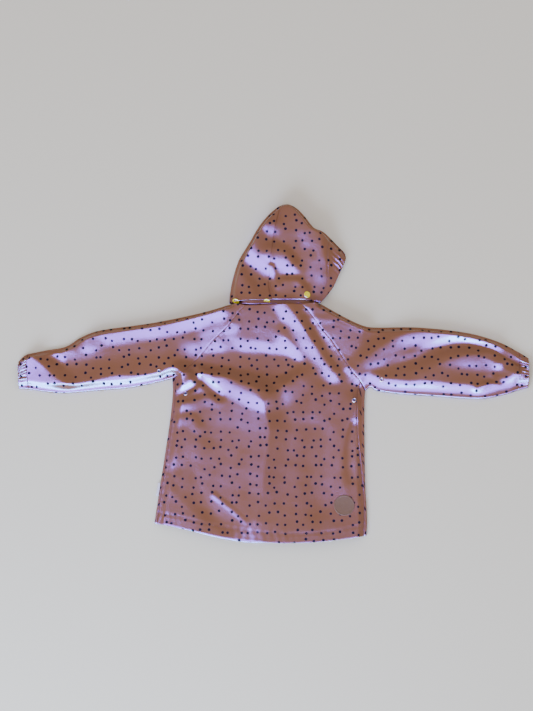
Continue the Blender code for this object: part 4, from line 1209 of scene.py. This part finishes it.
def sew(name, rows):
    """Join the stitches of rows of (cloth piece, plan points, +1 above or -1 below) into one mesh."""
    stitch = bpy.data.meshes.new("stitch")
    bm = bmesh.new()
    bmesh.ops.create_icosphere(bm, subdivisions=1, radius=MM, matrix=Matrix.Diagonal((*STITCH, 1)))
    bm.to_mesh(stitch)
    bm.clear()
    for piece, points, side in rows:
        lengths = lengths_along(points)
        for step in range(int(lengths[-1] / STITCH_PITCH)):
            reach = (step + np.array([0.3, 0.5, 0.7])) * STITCH_PITCH
            before, middle, after = point_at(points, lengths, reach)
            hit, normal = land_on(piece, *middle, side)
            if hit is None or abs(normal.z) < 0.25:
                continue
            run = Vector((*(after - before), 0))
            run = (run - run.dot(normal) * normal).normalized()
            turn = Matrix((run, normal.cross(run), normal)).transposed().to_4x4()
            seat = Matrix.Translation(hit) @ turn
            stitch.transform(seat)
            bm.from_mesh(stitch)
            stitch.transform(seat.inverted())
    return make_piece(name, bm, thread)


back_rows = [("hem_stitching", 0, 0.012, 0.985),
             ("raglan_left", -1.9, 0.08, 0.98), ("raglan_left", -6.6, 0.1, 0.98),
             ("raglan_right", 1.9, 0.13, 0.98), ("raglan_right", 6.6, 0.15, 0.98),
             ("seam_left", -1.9, 0.01, 0.97), ("seam_left", -6.6, 0.01, 0.97),
             ("seam_right", 1.9, 0.01, 0.97), ("seam_right", 6.6, 0.01, 0.97)]
back_sewing = sew("back_stitches", [(back, row_beside(*row), 1) for row in back_rows])
hood_sewing = sew("hood_stitches", [
    (hood["right"], row_beside("hood_seam", -2.6, 0.02, 0.96), 1),
    (hood["right"], row_beside("casing", 1.9, 0.03, 0.97), 1),
    (hood["right"], row_beside("hood_hem", 3.2, 0.49, 0.95), 1),
    (hood["left"], row_beside("hood_hem", 3.2, 0.03, 0.46), 1),
    (hood["left"], row_beside("hood_face", 11, 0.05, 0.93), -1)])
for side, start, end in (("left", (-452.6, -33.5), (-456.2, 25.5)), ("right", (451.8, -35.5), (456.2, 28.5))):
    row = straight(start, end)(np.linspace(0, 1, 20))
    sew(f"cuff_{side}_stitches", [(cuffs[side], row, 1), (cuffs[side], row, -1)])
placket_rows = [straight((-24 + aside, -313), (-0.5 + aside, 116))(np.linspace(0, 1, 40))
                for aside in (-13.0, 12.0)]
front_sewing = {
    "left": sew("front_left_stitches", [(fronts["left"], row_beside("hem_stitching", 0, 0.05, 0.44), -1)]),
    "right": sew("front_right_stitches", [
        (fronts["right"], row, -1) for row in placket_rows + [row_beside("hem_stitching", 0, 0.5, 0.96)]])}


# ---- Floor, light and camera ---------------------------------------------------------------------
# The coat lies on a pale matt board, under a cool window beside the hem and the soft warm light of
# the room. The camera hangs above it, a little towards the hem.

bpy.ops.mesh.primitive_plane_add(size=6, location=(0, 0, -0.0002))
floor = bpy.context.object
floor.name = "floor"
board = finish_look(new_look("pale_board")[0], {"Base Color": hexed("#E9EAEC"), "Roughness": 0.85,
                                                "Specular IOR Level": 0.0}, {})
floor.data.materials.append(board)


def area_light(name, location, size, energy, colour):
    """Hang a rectangular lamp that faces the middle of the coat."""
    lamp = bpy.data.lights.new(name, "AREA")
    lamp.shape = "RECTANGLE"
    lamp.size, lamp.size_y = size
    lamp.energy = energy
    lamp.color = colour
    holder = bpy.data.objects.new(name, lamp)
    holder.location = location
    holder.rotation_euler = (-Vector(location)).to_track_quat("-Z", "Y").to_euler()
    bpy.context.scene.collection.objects.link(holder)
    return holder


# The window's gleam and its soft daylight are two lamps, so that each can be set by itself.
gleam = area_light("window_gleam", (-0.715, -2.66, 2.9), (8.3, 4.35), 7950, (0.22, 0.13, 1.0))
gleam.visible_diffuse = False
sky = area_light("sky_gleam", (-0.3, -1.94, 1.03), (3.0, 1.0), 1200, (0.1, 0.45, 1.0))
sky.visible_diffuse = False
daylight = area_light("daylight", (-0.9, -1.9, 1.1), (1.2, 1.0), 62, (0.72, 0.84, 1.0))
daylight.visible_glossy = False
world = bpy.data.worlds.new("studio")
world.use_nodes = True
room = world.node_tree.nodes["Background"].inputs
room["Color"].default_value = (1.0, 0.9, 0.78, 1)
room["Strength"].default_value = 0.9
bpy.context.scene.world = world

SENSOR = 36
VIEW_DISTANCE = 2.2
VIEW_HEIGHT = 711 * 0.00185     # of the picture, in metres, where the camera aims
AIM_X, AIM_Y = -0.0129, 0.0269
tilt = math.radians(10)
camera_data = bpy.data.cameras.new("camera")
camera_data.lens = SENSOR * VIEW_DISTANCE / VIEW_HEIGHT
camera = bpy.data.objects.new("camera", camera_data)
camera.location = (AIM_X, AIM_Y - VIEW_DISTANCE * math.sin(tilt), VIEW_DISTANCE * math.cos(tilt))
camera.rotation_euler = (tilt, 0, 0)
bpy.context.scene.collection.objects.link(camera)
bpy.context.scene.camera = camera
